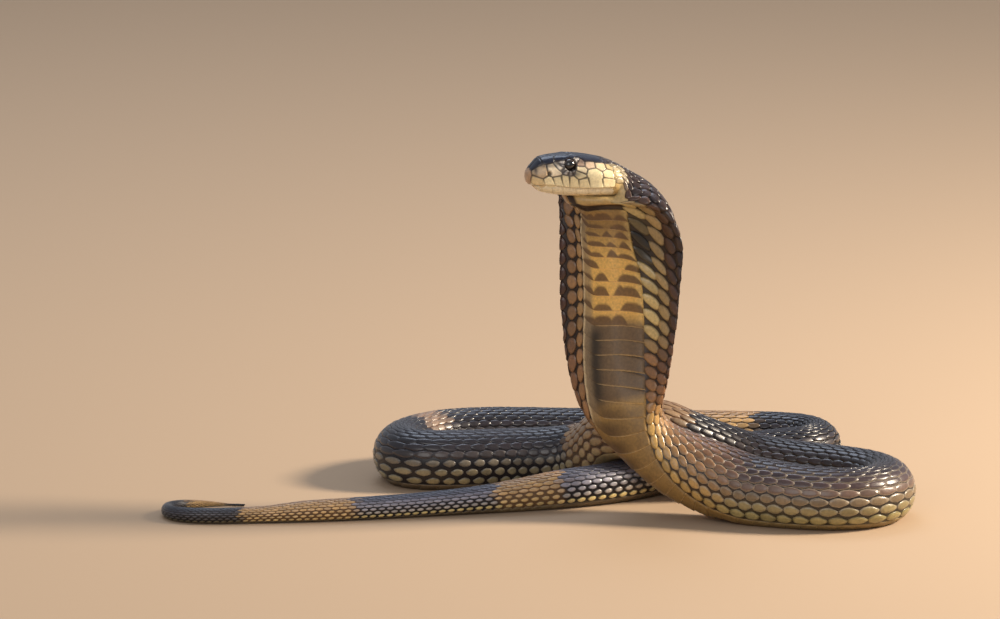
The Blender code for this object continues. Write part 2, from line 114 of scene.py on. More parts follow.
# The centre line: x, y and z where the body is reared, and x, y and the height above
# lying flat from there on
REARED = (
    (51.0, 32.0, 136.5), (55.8, 33.0, 131.0), (57.4, 33.4, 123.5), (56.4, 33.2, 113.5),
    (54.8, 33.0, 101.0), (53.6, 33.0, 87.0), (52.6, 32.5, 73.0), (52.4, 31.0, 58.5),
    (54.2, 29.0, 45.5), (59.0, 27.0, 35.2), (67.0, 24.5, 27.4), (79.0, 20.5, 21.0),
    (92.0, 15.8, 16.4),
)
LYING = (
    (106.0, 10.5, 0.0), (124.0, 3.6, 0.0), (142.0, 1.5, 0.0), (155.5, 7.5, 0.0),
    (161.7, 20.0, 0.0), (158.5, 34.0, 0.0), (147.5, 45.0, 0.0), (133.0, 53.0, 0.0),
    (119.0, 59.0, 0.6), (107.0, 62.5, 2.2), (97.0, 62.5, 5.2), (87.0, 60.5, 9.2),
    (76.5, 58.0, 14.0), (67.0, 57.0, 17.9), (58.5, 56.8, 18.4), (51.3, 59.5, 17.7),
    (45.2, 67.0, 12.2), (38.5, 75.0, 4.9), (30.0, 81.0, 1.9), (19.5, 83.0, 0.5),
    (7.0, 83.0, 0.0), (-8.0, 80.5, 0.0), (-25.0, 79.0, 0.0), (-37.5, 82.5, 0.0),
    (-42.3, 93.0, 0.0), (-38.5, 109.0, 0.0), (-27.0, 123.5, 0.0), (-8.0, 132.0, 0.0),
    (20.0, 133.5, 0.0), (60.0, 133.0, 0.0), (100.0, 132.0, 0.0), (121.0, 131.0, 0.0),
    (132.0, 126.5, 0.0), (136.8, 115.5, 0.0), (131.5, 104.8, 0.0), (121.0, 100.5, 0.0),
    (109.5, 96.0, 0.0), (97.0, 92.5, 0.0), (86.5, 89.5, 0.0), (77.5, 82.5, 0.0),
    (68.5, 71.5, 0.0), (59.0, 60.5, 0.0), (43.0, 49.0, 0.0), (27.0, 41.5, 0.0),
    (8.0, 34.5, 0.0), (-16.7, 27.5, 0.0), (-40.0, 21.5, 0.0), (-62.0, 16.5, 0.0),
    (-86.0, 12.5, 0.0), (-108.4, 10.0, 0.0), (-124.0, 9.8, 0.0), (-135.0, 14.0, 0.0),
    (-139.5, 23.0, 0.0), (-136.5, 33.5, 0.0), (-127.0, 40.0, 0.0), (-116.5, 42.0, 0.0),
    (-107.3, 41.0, 0.0),
)
# Direction that the back faces at distances
BACK_FACES = (
    (0.0, 0.60, 0.45, 0.66), (8.0, 0.60, 0.72, 0.35), (18.0, 0.55, 0.83, 0.06),
    (30.0, 0.53, 0.85, 0.0), (65.0, 0.52, 0.85, 0.0), (92.0, 0.50, 0.86, 0.10),
    (106.0, 0.46, 0.76, 0.45), (122.0, 0.30, 0.45, 0.85), (140.0, 0.10, 0.12, 0.98),
    (152.0, 0.0, 0.0, 1.0),
)
# Half width and half height of the body at distances
GIRTH = (
    (0.0, 8.8, 7.6), (8.0, 9.2, 7.6), (30.0, 12.0, 8.5), (60.0, 12.8, 9.5),
    (85.0, 12.4, 10.6), (97.0, 11.8, 11.6), (112.0, 12.2, 12.9), (130.0, 13.2, 14.8),
    (148.0, 13.4, 15.6), (165.0, 13.1, 14.9), (190.0, 12.6, 13.7), (215.0, 12.4, 13.3),
    (300.0, 12.3, 13.3), (440.0, 12.3, 13.3), (500.0, 12.1, 13.0), (560.0, 11.7, 12.5),
    (650.0, 11.0, 11.8), (720.0, 10.4, 11.2), (770.0, 9.3, 10.0), (801.0, 8.5, 9.1),
    (827.0, 7.9, 8.5), (845.0, 6.9, 7.3), (865.0, 5.7, 6.1), (889.0, 5.0, 5.4),
    (936.0, 4.4, 4.8), (958.0, 3.4, 3.7), (986.0, 3.1, 3.4), (1019.0, 1.9, 2.1),
    (1039.0, 0.55, 0.6),
)
# How far the hood is spread at distances, from 0 to 1
SPREAD = (
    (0.0, 0.30), (4.0, 0.56), (9.0, 0.80), (16.0, 0.95), (26.0, 1.0), (48.0, 1.0),
    (60.0, 0.95), (75.0, 0.82), (85.0, 0.66), (93.0, 0.47), (102.0, 0.23), (112.0, 0.06),
    (122.0, 0.0), (130.0, 0.0),
)
# The head's half width, and heights of its crown, chin and widest line, going back
HEAD_OUTLINE = (
    (0.0, 2.4, 0.9, -2.6, -0.8), (0.8, 4.2, 2.2, -4.2, -0.8), (2.5, 5.7, 4.2, -5.8, -0.8),
    (6.0, 7.2, 7.2, -7.3, -1.0), (11.0, 8.5, 7.9, -8.5, -1.6), (17.0, 9.9, 8.0, -9.3, -2.2),
    (23.0, 11.4, 7.6, -9.8, -2.8), (29.0, 12.6, 6.5, -10.1, -3.2),
    (34.0, 12.7, 5.0, -10.2, -3.4), (38.0, 11.9, 3.4, -10.3, -3.6),
)
# Dusky patches on the side of the head: back, up, half their length and height, strength
SMUDGES = (
    (18.2, 0.9, 3.2, 1.3, 0.80), (13.4, 1.6, 1.2, 1.6, 0.45), (22.5, 5.6, 3.4, 0.9, 0.65),
    (7.0, 4.2, 4.6, 0.8, 0.75), (2.6, 2.6, 0.7, 2.4, 0.80),
)
# Height of the mouth line, going back
MOUTH_LINE = ((0.0, -4.5), (3.0, -4.1), (7.5, -3.9), (16.0, -5.1), (24.0, -5.4), (35.0, -5.2))

# Arcs that the belly plates span to the snake's left and right at distances
BELLY_ARC = (
    (-20.0, 9.0, 9.0), (-8.0, 10.0, 8.0), (0.0, 16.0, 5.0), (2.0, 14.8, 7.5), (4.0, 11.8, 11.0),
    (6.0, 8.5, 15.0), (8.0, 6.0, 19.0), (10.0, 5.0, 22.0), (12.0, 4.2, 24.0), (15.0, 3.3, 25.5),
    (18.0, 3.2, 26.0), (22.0, 3.8, 26.0), (26.0, 5.3, 24.4), (30.0, 7.2, 21.7), (36.0, 9.8, 19.8),
    (42.0, 11.4, 18.8), (50.0, 12.6, 17.7), (60.0, 13.8, 17.0), (85.0, 15.0, 16.0),
    (105.0, 14.0, 15.5), (140.0, 12.6, 13.0), (180.0, 10.4, 10.8), (300.0, 10.2, 10.2),
    (560.0, 10.2, 10.2), (720.0, 10.0, 10.0), (838.0, 7.0, 7.0), (900.0, 4.0, 4.0),
    (960.0, 2.8, 2.8), (1046.0, 0.5, 0.5),
)
# Length of the back's scales from one to the next, at distances
PITCH = (
    (-20.0, 3.8), (-8.0, 3.6), (0.0, 4.2), (4.0, 5.4), (12.0, 6.3), (80.0, 6.3), (100.0, 5.4),
    (135.0, 5.6), (165.0, 6.3), (230.0, 6.2), (290.0, 5.9), (420.0, 5.7), (600.0, 5.4),
    (760.0, 4.9), (838.0, 4.5), (880.0, 3.8), (940.0, 3.3), (1000.0, 2.6), (1040.0, 1.8),
)
ROWS = 19                        # of scales, from the left edge of the belly over the back
HOOD_ROWS_END = 60.0             # rows keep a true pitch up to here
SCUTE_LENGTH = 6.2               # of a belly plate
HIND_SCUTE_SHARE = 0.9           # as a share of that, how long the hind ones are
HIND_SCUTES_FROM = 500.0
FIRST_EDGES = (9.5, 16.0, 20.5, 24.0, 27.6, 31.4, 35.6, 40.4, 46.2, 52.6, 59.0)
THROAT_PLATES_END = 155.0        # the finely divided plates reach down to here
PLATE_SLOPE = 9.0                # of a plate at the foot of the neck, from edge to edge
VENT = 838.0
TAIL_TIP = 1045.6
SKIN_DEPTH = 0.34                # of the skin under the scales' surface
SKIN_SUNK = 1.35                 # how many times deeper the body's skin lies

# Layout of the scales for baking: strips of the body side by side
COAT_START = -20.0               # the first strip starts here, before the first scales
STRIPS = 5
STRIP_LENGTH = 216.0
PATCH = 0.003                    # side of one scale there

# Studio
FLOOR_RADIUS = 30.0              # metres
FLOOR_HEIGHT = -0.0002
CAMERA_LENS = 257.04             # millimetres, on a 36 mm wide sensor
CAMERA_TILT = np.radians(11.0)
CAMERA_AIM = np.array((0.0, 46.25, 83.61))

# Lengths with a tan band round them: from, to, how tan
BANDS = (
    (338.0, 392.0, 0.9), (499.0, 513.0, 0.7), (606.0, 652.0, 0.85), (829.0, 857.0, 1.0),
    (918.0, 965.0, 0.95), (1021.0, 1038.0, 0.9),
)


def linear(red, green, blue):
    """A colour of 0 to 255 as linear light."""
    value = np.array((red, green, blue)) / 255.0
    return np.where(value <= 0.04045, value / 12.92, ((value + 0.055) / 1.055) ** 2.4)


def ramp(at, stops):
    """Colours between stops of (place, colour)."""
    places = [stop[0] for stop in stops]
    colours = np.array([linear(*stop[1]) for stop in stops])
    return np.stack([np.interp(at, places, colours[:, k]) for k in range(3)], axis=-1)


def smooth(low, high, at):
    """0 below low, 1 above high and an eased rise between them."""
    t = np.clip((at - low) / (high - low), 0.0, 1.0)
    return t * t * (3.0 - 2.0 * t)


def mix(a, b, share):
    """From a to b by a share for each row."""
    share = np.asarray(share)[..., None]
    return a * (1.0 - share) + b * share


def between(low, low_end, high, high_end, at):
    """1 from low_end to high, easing to 0 at low and at high_end."""
    return smooth(low, low_end, at) * (1.0 - smooth(high, high_end, at))


def spline(knots, values, at):
    """Natural cubic spline through values at knots."""
    knots = np.asarray(knots, float)
    values = np.asarray(values, float).reshape(len(knots), -1)
    at = np.atleast_1d(np.asarray(at, float))
    step = np.diff(knots)
    count = len(knots)
    matrix = np.eye(count)
    right = np.zeros_like(values)
    for i in range(1, count - 1):
        matrix[i, i - 1] = step[i - 1]
        matrix[i, i] = 2.0 * (step[i - 1] + step[i])
        matrix[i, i + 1] = step[i]
        right[i] = 6.0 * ((values[i + 1] - values[i]) / step[i] - (values[i] - values[i - 1]) / step[i - 1])
    bend = np.linalg.solve(matrix, right)
    cell = np.clip(np.searchsorted(knots, at, side="right") - 1, 0, count - 2)
    width = step[cell][:, None]
    low = (knots[cell + 1] - at)[:, None]
    high = (at - knots[cell])[:, None]
    return (
        bend[cell] * low ** 3 / (6.0 * width)
        + bend[cell + 1] * high ** 3 / (6.0 * width)
        + (values[cell] / width - bend[cell] * width / 6.0) * low
        + (values[cell + 1] / width - bend[cell + 1] * width / 6.0) * high
    )


def eased(table, at):
    """Values of a table of distances, joined smoothly with no overshoot."""
    knots = np.array([row[0] for row in table])
    values = np.array([row[1:] for row in table], float)
    at = np.clip(np.atleast_1d(np.asarray(at, float)), knots[0], knots[-1])
    slope = np.diff(values, axis=0) / np.diff(knots)[:, None]
    same = slope[:-1] * slope[1:] > 0
    middle = np.where(same, 2.0 * slope[:-1] * slope[1:] / (slope[:-1] + slope[1:] + 1e-12), 0.0)
    ends = np.vstack([slope[:1], middle, slope[-1:]])
    cell = np.clip(np.searchsorted(knots, at, side="right") - 1, 0, len(knots) - 2)
    width = (knots[cell + 1] - knots[cell])[:, None]
    t = (at - knots[cell])[:, None] / width
    return (
        (2 * t ** 3 - 3 * t ** 2 + 1) * values[cell]
        + (t ** 3 - 2 * t ** 2 + t) * width * ends[cell]
        + (-2 * t ** 3 + 3 * t ** 2) * values[cell + 1]
        + (t ** 3 - t ** 2) * width * ends[cell + 1]
    )


class Route:
    """The centre line: distance along it gives a place and three directions."""

    def __init__(self):
        plan = np.array(REARED + LYING)
        lying = np.arange(len(plan)) >= len(REARED)
        chord = np.concatenate([[0.0], np.cumsum(np.linalg.norm(np.diff(plan, axis=0), axis=1))])
        for _ in range(3):
            points = plan.copy()
            points[lying, 2] += BELLY_FLAT * eased(GIRTH, chord[lying])[:, 1]
            fine = np.linspace(0.0, chord[-1], 4000)
            dense = spline(chord, points, fine)
            run = np.concatenate([[0.0], np.cumsum(np.linalg.norm(np.diff(dense, axis=0), axis=1))])
            chord = np.interp(chord, fine, run)
        self.knots = chord
        self.points = points
        self.belly_down = float(chord[len(REARED)])
        self.lift = np.where(lying, plan[:, 2], 0.0)

    def place(self, s):
        """Points of the centre line, over the ground where it lies."""
        place = spline(self.knots, self.points, s)
        lift = np.maximum(spline(self.knots, self.lift, s)[:, 0], 0.0)
        lift = np.where(lift < 0.02, 0.0, lift)
        ground = BELLY_FLAT * eased(GIRTH, s)[:, 1] + lift
        place[:, 2] = np.where(np.atleast_1d(s) > self.belly_down, ground, place[:, 2])
        return place

    def directions(self, s):
        """Headward, back and right-hand directions at each distance."""
        s = np.atleast_1d(np.asarray(s, float))
        ahead = spline(self.knots, self.points, s - 0.5) - spline(self.knots, self.points, s + 0.5)
        back = eased(BACK_FACES, s)
        flat = (s > BACK_FACES[-1][0]) & (np.abs(ahead[:, 2]) < 0.02)
        ahead[flat, 2] = 0.0
        ahead /= np.linalg.norm(ahead, axis=1)[:, None]
        back -= ahead * np.sum(back * ahead, axis=1)[:, None]
        back /= np.linalg.norm(back, axis=1)[:, None]
        return ahead, back, np.cross(ahead, back)


ROUTE = Route()


def body_rings(s, turn):
    """Points round the body at distances s, for angles turn from the mid-back."""
    girth = eased(GIRTH, s)
    width = girth[:, :1]
    height = girth[:, 1:]
    spread = eased(SPREAD, s)
    half = width + spread * (HOOD_HALF_WIDTH - width)
    side = np.sin(turn)[None, :]
    up = np.cos(turn)[None, :]
    reach, lead = (eased(FAR_WING, s)[:, k:k + 1] for k in range(2))
    across = (half + reach * np.clip(side, 0.0, 1.0)) * side
    stand, aside, draw = (eased(THROAT, s)[:, k:k + 1] for k in range(3))
    ridge = np.exp(-np.abs((across - aside) / RIDGE_HALF_WIDTH) ** 3.0)
    spine = np.exp(-np.abs(across / (0.8 * RIDGE_HALF_WIDTH)) ** 2.0)
    core = np.where(up < 0.0, ridge, SPINE_RIDGE * spine)
    thick = WING_HALF_THICKNESS + (height - WING_HALF_THICKNESS) * core
    depth = height * (1.0 - spread) + thick * spread
    cup = -spread * HOOD_CUP * np.abs(side) ** 2.2
    near_chin = np.exp(-(np.maximum(s, 0.0) / THROAT_DEPTH_REACH) ** 2)[:, None]
    deeper = 1.0 + THROAT_DEPTH * near_chin * np.clip(-up, 0.0, 1.0)
    throat = ridge * np.clip(-2.0 * up, 0.0, 1.0)
    swelling = NAPE_SWELL * np.exp(-((s - NAPE_SWELL_AT) / NAPE_SWELL_REACH) ** 2)[:, None]
    nape = swelling * np.clip(0.35 + up, 0.0, 1.0)
    rise = up * depth * deeper + cup - stand * throat + nape
    roll = np.tan(np.radians(eased(HOOD_ROLL, s)))
    run = roll * across * (1.0 - ridge) + lead * np.clip(side, 0.0, 1.0) ** 1.5
    run = run + (draw - spread * ROW_TILT * (across - aside)) * throat
    low = (s > ROUTE.belly_down - 12.0)[:, None]
    rise = np.where(low, np.maximum(rise, -BELLY_FLAT * height), rise)
    ahead, back, right = ROUTE.directions(s)
    return (
        ROUTE.place(s)[:, None, :]
        + run[:, :, None] * ahead[:, None, :]
        + across[:, :, None] * right[:, None, :]
        + rise[:, :, None] * back[:, None, :]
    )


def head_axes():
    """Directions ahead of the head, up and to its right."""
    ahead = np.array((-np.cos(HEAD_YAW), -np.sin(HEAD_YAW), 0.0))
    up = np.array((0.0, 0.0, 1.0))
    return ahead, up, np.cross(ahead, up)


def head_offsets(back, turn):
    """Offsets of the head's outline to its right and up, and the mouth's height."""
    outline = eased(HEAD_OUTLINE, back)
    width, crown, chin, widest = (outline[:, k:k + 1] for k in range(4))
    side = np.sin(turn)[None, :]
    up = np.cos(turn)[None, :]
    across = width * np.sign(side) * np.abs(side) ** 0.72
    above = widest + (crown - widest) * np.abs(up) ** 0.80
    below = widest - (widest - chin) * np.abs(up) ** 0.85
    height = np.where(up >= 0.0, above, below)
    shelf = np.exp(-((height - 0.62 * crown) / 2.0) ** 2)
    across = across * (1.0 - 0.10 * shelf * np.clip(back / 10.0, 0.0, 1.0)[:, None])
    return across, height


def head_rings(back, turn):
    """Points round the head, with the lower jaw set in under the lip."""
    across, height = head_offsets(back, turn)
    mouth = eased(MOUTH_LINE, back)
    fade = (1.0 - smooth(MOUTH_LENGTH - 3.0, MOUTH_LENGTH + 1.0, back))[:, None]
    near = np.exp(-((height - mouth) / 1.3) ** 2)
    under = 1.0 / (1.0 + np.exp(np.clip((height - mouth) / 0.10, -40.0, 40.0)))
    lip = LIP_OVERHANG * (1.0 - under) - JAW_UNDERCUT * under
    lip = 1.0 + fade * near * lip - JAW_INSET * fade * under
    chin_tip = smooth(0.9, 5.0, back)[:, None]
    across = across * lip * (1.0 - 0.45 * under * (1.0 - chin_tip))
    height = np.where(height < mouth, mouth + (height - mouth) * (0.15 + 0.85 * chin_tip), height)
    ahead, up, right = head_axes()
    return (
        SNOUT
        - back[:, None, None] * ahead
        + across[:, :, None] * right
        + height[:, :, None] * up
    )


def surface_rings(s, turn):
    """Rings along the nape (s below 0) and the body, and the head's end before."""
    s = np.asarray(s, float)
    rings = np.empty((len(s), len(turn), 3))
    body = s >= 0.0
    if body.any():
        rings[body] = body_rings(s[body], turn)
    head = s < -NAPE
    if head.any():
        rings[head] = head_rings(HEAD_BACK + NAPE + s[head], turn)
    nape = ~body & ~head
    if nape.any():
        near = body_rings(np.array((0.0, 1.0)), turn)
        far = head_rings(np.array((HEAD_BACK, HEAD_BACK - 1.0)), turn)
        reach = NAPE_FULLNESS * np.linalg.norm(far[0] - near[0], axis=1)[:, None]
        leave = reach * (near[0] - near[1])
        meet = reach * (far[1] - far[0])
        t = (-s[nape] / NAPE)[:, None, None]
        ahead, up, right = head_axes()
        below = np.clip(-np.cos(turn), 0.0, 1.0)[None, :, None] ** 0.8
        swell = THROAT_SWELL * np.sin(np.pi * t) * below * (ahead + 0.1 * up)
        blend = swell + (
            (2 * t ** 3 - 3 * t ** 2 + 1) * near[0]
            + (t ** 3 - 2 * t ** 2 + t) * leave
            + (3 * t ** 2 - 2 * t ** 3) * far[0]
            + (t ** 3 - t ** 2) * meet
        )
        under = (below[:, :, 0] > 0.0) & (t[:, :, 0] < 1.0)
        behind = (SNOUT - blend) @ ahead
        under = under & (behind < MOUTH_LENGTH + 1.0)
        outline = eased(HEAD_OUTLINE, behind[under])
        chin = SNOUT[2] + outline[:, 2] + JAW_OVERLAP
        aside = np.abs((blend[under] - SNOUT) @ right) / outline[:, 0]
        share = np.broadcast_to(t[:, :, 0], under.shape)[under]
        lifted = smooth(0.0, 0.16, share) * (1.0 - smooth(0.80, 1.05, aside))
        low = np.minimum(blend[under, 2], chin)
        blend[under, 2] = low + (chin - low) * lifted
        rings[nape] = blend
    return rings


def resampled(ring, arc, wanted):
    """Points of a ring at wanted arc places."""
    return np.stack([np.interp(wanted, arc, ring[:, k]) for k in range(3)], axis=-1)


def arcs(ring):
    """Lengths round a ring up to each of its points."""
    return np.concatenate([[0.0], np.cumsum(np.linalg.norm(np.diff(ring, axis=0), axis=1))])


# Angles round a ring from the middle of the back, and the number of the belly's middle
TURNS = np.linspace(0.0, 2.0 * np.pi, 361)
HALF_TURN = 180


def row_arcs(s, arc, rows):
    """Arc places of the rows, from the left edge of the belly over the back."""
    right = arc[HALF_TURN]
    left = arc[-1] - right
    near, far = eased(BELLY_ARC, s)[0]
    x = np.minimum(rows, ROWS - rows) / (ROWS / 2.0)
    low = 0.3 + 0.25 * float(smooth(135.0, 180.0, s))
    wide = np.where(rows > ROWS / 2.0, low * (1.0 - eased(SPREAD, s)[0, 0]), low)
    x = (1.0 + wide) * x - wide * x * x
    on_left = right + near + (left - near) * x
    on_right = right - far - (right - far) * x
    return np.where(rows <= ROWS / 2.0, on_left, on_right)


def belly_arcs(s, arc, across):
    """Arc places across the belly, from its right edge (-1) to its left (1)."""
    near, far = eased(BELLY_ARC, s)[0]
    return arc[HALF_TURN] - far + (near + far) * (across + 1.0) / 2.0


def outward(grid):
    """Unit normals of a grid of points, outside being the left of along x across."""
    along = np.gradient(grid, axis=0)
    across = np.gradient(grid, axis=1)
    across[:, 0] = grid[:, 1] - grid[:, 0]
    normal = np.cross(along, across)
    return normal / np.maximum(np.linalg.norm(normal, axis=2), 1e-9)[:, :, None]


def skin_depth(s):
    """How far the skin lies under the solids' surface."""
    return SKIN_DEPTH * smooth(-12.0, 4.0, s) * (1.0 - 0.6 * smooth(940.0, 1040.0, s))


def sheet_grid(stops, lanes, lane_arcs):
    """Places and outward directions on the skin at stops along and lanes across."""
    grid = np.empty((len(stops), len(lanes), 3))
    for i, ring in enumerate(surface_rings(stops, TURNS)):
        arc = arcs(ring)
        grid[i] = resampled(ring, arc, lane_arcs(stops[i], arc, lanes))
    out = outward(grid)
    grid = grid - out * skin_depth(stops)[:, None, None]
    return (grid - CENTRE) * MM, out


def unwrap(s, share):
    """Place on the scales' own flat layout, share being 0 to 1 across a strip."""
    run = (np.asarray(s) - COAT_START) / STRIP_LENGTH
    strip = np.floor(run)
    u = 0.01 + 0.98 * (run - strip)
    v = (strip + 0.04 + 0.92 * np.asarray(share)) / STRIPS
    return np.stack([u, v, np.zeros_like(u)], axis=-1)


def band_share(s):
    """How tan the animal is at distances s."""
    share = np.zeros_like(s)
    for low, high, pale in BANDS:
        share = np.maximum(share, pale * between(low - 2.5, low + 2.5, high - 2.5, high + 2.5, s))
    return share


# Colours of the coat from the belly's edge (0) to the middle of the back (1)
HOOD_COAT = (
    (0.02, (200, 176, 116)), (0.13, (184, 158, 106)), (0.19, (146, 118, 82)),
    (0.25, (86, 60, 46)), (0.36, (56, 40, 36)), (1.0, (46, 34, 32)),
)
NECK_COAT = (
    (0.02, (158, 116, 74)), (0.13, (132, 94, 62)), (0.22, (104, 72, 54)),
    (0.40, (72, 50, 42)), (1.0, (62, 44, 40)),
)
RISING_COAT = (
    (0.02, (184, 150, 84)), (0.16, (176, 140, 84)), (0.30, (152, 114, 72)),
    (0.60, (118, 84, 58)), (1.0, (98, 70, 54)),
)
FRONT_COAT = (
    (0.02, (156, 143, 94)), (0.14, (144, 131, 90)), (0.22, (132, 116, 86)),
    (0.34, (112, 90, 76)), (0.48, (68, 51, 51)), (0.70, (42, 31, 37)), (1.0, (35, 27, 33)),
)
FAR_COAT = (
    (0.02, (152, 140, 104)), (0.14, (140, 128, 98)), (0.26, (120, 110, 94)),
    (0.38, (46, 38, 42)), (0.60, (24, 20, 28)), (1.0, (30, 28, 40)),
)
# Hind coat: yellow lowest rows, pale grey middle rows that are painted highlights, and a bluish top that is
# painted sheen
REAR_COAT_WITH_PAINTED_HIGHLIGHTS = (
    (0.03, (230, 208, 140)), (0.10, (220, 198, 142)), (0.17, (172, 168, 172)),
    (0.40, (150, 148, 162)), (0.60, (90, 90, 104)), (1.0, (62, 64, 80)),
)
TAN_BAND = ((0.0, (226, 196, 132)), (0.3, (208, 170, 112)), (1.0, (182, 140, 94)))
# Painted shade that darkens the hood's right wing
RIGHT_WING_PAINTED_SHADE = np.array((0.70, 0.56, 0.56))
# Painted shadow in the hollow beside the throat
HOLLOW_PAINTED_SHADOW = linear(18, 14, 13)
CHEEK_CREAM = linear(214, 194, 152)
TAIL_BLACK = linear(30, 26, 32)
TIP_BLACK = linear(26, 22, 30)
SHADED_TAN = linear(138, 112, 90)
PINKISH_TAN = linear(164, 140, 126)
# Painted shade on the low rows of the crossing length's band
CROSSING_PAINTED_SHADE = linear(52, 42, 44)
# Painted highlight on the scales' rims
PAINTED_HIGHLIGHT_RIM = linear(206, 192, 170)
# Painted cool sky sheen on the scales' rims
PAINTED_SKY_SHEEN_RIM = linear(150, 152, 170)
BROWN_RIM = linear(128, 88, 52)
# Painted shade on the band's rims along the crossing length
CROSSING_SHADED_RIM = linear(46, 36, 36)

# Colours of the skin in the gaps between scales
GAP_BROWN = linear(40, 27, 22)
GAP_BLACK = linear(24, 20, 24)

# Colours of the belly plates
CHIN_BROWN = linear(146, 114, 62)
THROAT_GOLD = linear(226, 180, 96)
BAND_BROWN = linear(112, 91, 65)
NECK_OLIVE = linear(142, 112, 62)
LYING_OLIVE = linear(136, 114, 72)
LEFT_CREAM = linear(226, 200, 132)
# Painted shade on the right side plane of the throat's plates
RIGHT_SIDE_PAINTED_SHADE = linear(148, 128, 98)
# Painted highlight along the plates' right edge
RIGHT_EDGE_PAINTED_HIGHLIGHT = linear(222, 200, 158)
HUMP_BROWN = linear(94, 66, 40)
# Painted shadow in the fold between the throat's plates and the left wing
FOLD_PAINTED_SHADOW = linear(30, 22, 18)
STREAK_BLACK = linear(30, 26, 18)
PATCH_BROWN = linear(74, 54, 32)
# Painted highlight along the plates' free edges
FREE_EDGE_PAINTED_HIGHLIGHT = linear(228, 204, 156)
BELLY_BAND_TAN = linear(220, 190, 128)
# Painted shade on the plates under the lying body
HIND_PAINTED_SHADE = linear(92, 78, 60)


def hood_ground(s, lane, t):
    """Colour of the hood, with painted shade over the right wing and a painted shadow in the hollow by the
    throat.
    """
    hood = ramp(t, HOOD_COAT)
    # Painted shade over the right wing
    hood = np.where((lane > ROWS / 2.0)[:, None], hood * RIGHT_WING_PAINTED_SHADE, hood)
    # Painted shadow on the first scales of the left wing, in the hollow by the throat
    hollow = between(14.0, 17.0, 27.0, 30.0, s) * (1.0 - smooth(0.6, 1.3, lane))
    hood = mix(hood, HOLLOW_PAINTED_SHADOW, 0.97 * hollow)
    cheek = smooth(-4.0, -7.0, s) * (1.0 - smooth(0.50, 0.66, t))
    return mix(hood, CHEEK_CREAM, 0.9 * cheek)


def coat_ground(s, lane, t):
    """Colour of the coat without its bands, blended from length to length."""
    tone = hood_ground(s, lane, t)
    for stops, low, high in (
        (NECK_COAT, 56.0, 74.0), (RISING_COAT, 92.0, 108.0), (FRONT_COAT, 138.0, 162.0),
        (FAR_COAT, 300.0, 345.0), (REAR_COAT_WITH_PAINTED_HIGHLIGHTS, 770.0, 815.0),
    ):
        tone = mix(tone, ramp(t, stops), smooth(low, high, s))
    return mix(tone, TAIL_BLACK, 0.85 * smooth(952.0, 966.0, s))


def band_tan(s, t, crossing):
    """Colour of the bands, with painted shade on the first one and on the crossing length's low rows, and a
    duller pinkish tan near 500.
    """
    tan = ramp(t, TAN_BAND)
    tan = mix(tan, SHADED_TAN, 0.65 * (1.0 - smooth(400.0, 410.0, s)))
    tan = mix(tan, PINKISH_TAN, 0.8 * between(470.0, 480.0, 530.0, 540.0, s))
    return mix(tan, CROSSING_PAINTED_SHADE, 0.85 * crossing * (1.0 - smooth(0.22, 0.36, t)))


def coat_tones(s, lane, chance):
    """Colour of a scale's middle and of its edge at distances and lanes, with painted shadow inside the
    loop, painted highlights and sky sheen on the rims, and painted shade on the crossing length.
    """
    t = np.minimum(lane, ROWS - lane) / (ROWS / 2.0)
    share = band_share(s + 5.0 * (chance[:, 0] - 0.5))
    # Length that gets painted shade on its band's low rows and rims
    crossing = between(590.0, 596.0, 664.0, 670.0, s)
    # Inside of the loop's far run, where painted shadow darkens the scales and dims their painted
    # highlights
    inner = between(215.0, 240.0, 330.0, 350.0, s) * (lane > ROWS / 2.0)
    tone = mix(coat_ground(s, lane, t), band_tan(s, t, crossing), share * (0.82 + 0.18 * chance[:, 1]))
    # Painted shadow inside the loop
    tone = tone * (1.0 - 0.55 * inner)[:, None]
    tone = mix(tone, TIP_BLACK, 0.9 * smooth(1037.0, 1041.0, s))
    tone = tone * (0.80 + 0.40 * chance[:, 2])[:, None]
    rim = tone * (0.55 - 0.33 * smooth(400.0, 640.0, s))[:, None]
    # Painted highlights on the rims from the rising neck to the front loop, fewer inside the loop
    lit = (0.42 - 0.36 * inner) * between(96.0, 112.0, 300.0, 350.0, s)
    rim = mix(rim, PAINTED_HIGHLIGHT_RIM, lit * between(0.04, 0.20, 0.60, 0.85, t))
    # Painted cool sky sheen on the rims of the far lengths
    rim = mix(rim, PAINTED_SKY_SHEEN_RIM, 0.14 * between(300.0, 350.0, 400.0, 640.0, s))
    # Brown rims on the bands, with painted shade on the crossing length
    rim = mix(rim, mix(BROWN_RIM, CROSSING_SHADED_RIM, 0.9 * crossing), 0.85 * share)
    return tone, rim


def skin_tones(s, lane):
    """Colour of the skin between the scales: the coat's, darker."""
    even_chance = np.full((len(s), 3), 0.5)
    tone, _ = coat_tones(s, lane, even_chance)
    tone = mix(0.45 * tone, GAP_BROWN, 0.78 * (1.0 - smooth(140.0, 200.0, s)) + 0.1)
    gaps = smooth(140.0, 200.0, s) * (1.0 - 0.8 * band_share(s))
    return mix(tone, GAP_BLACK, 0.8 * gaps)


def throat_and_crease_shade_tones(s):
    """Colour below the jaw, from cream to painted shade in the crease over the first plate."""
    return ramp(s, (
        (-8.0, (220, 196, 142)), (-1.0, (212, 180, 118)), (1.5, (158, 122, 70)),
        (4.0, (74, 54, 34)), (8.0, (54, 40, 26)), (10.0, (60, 44, 28)),
    ))


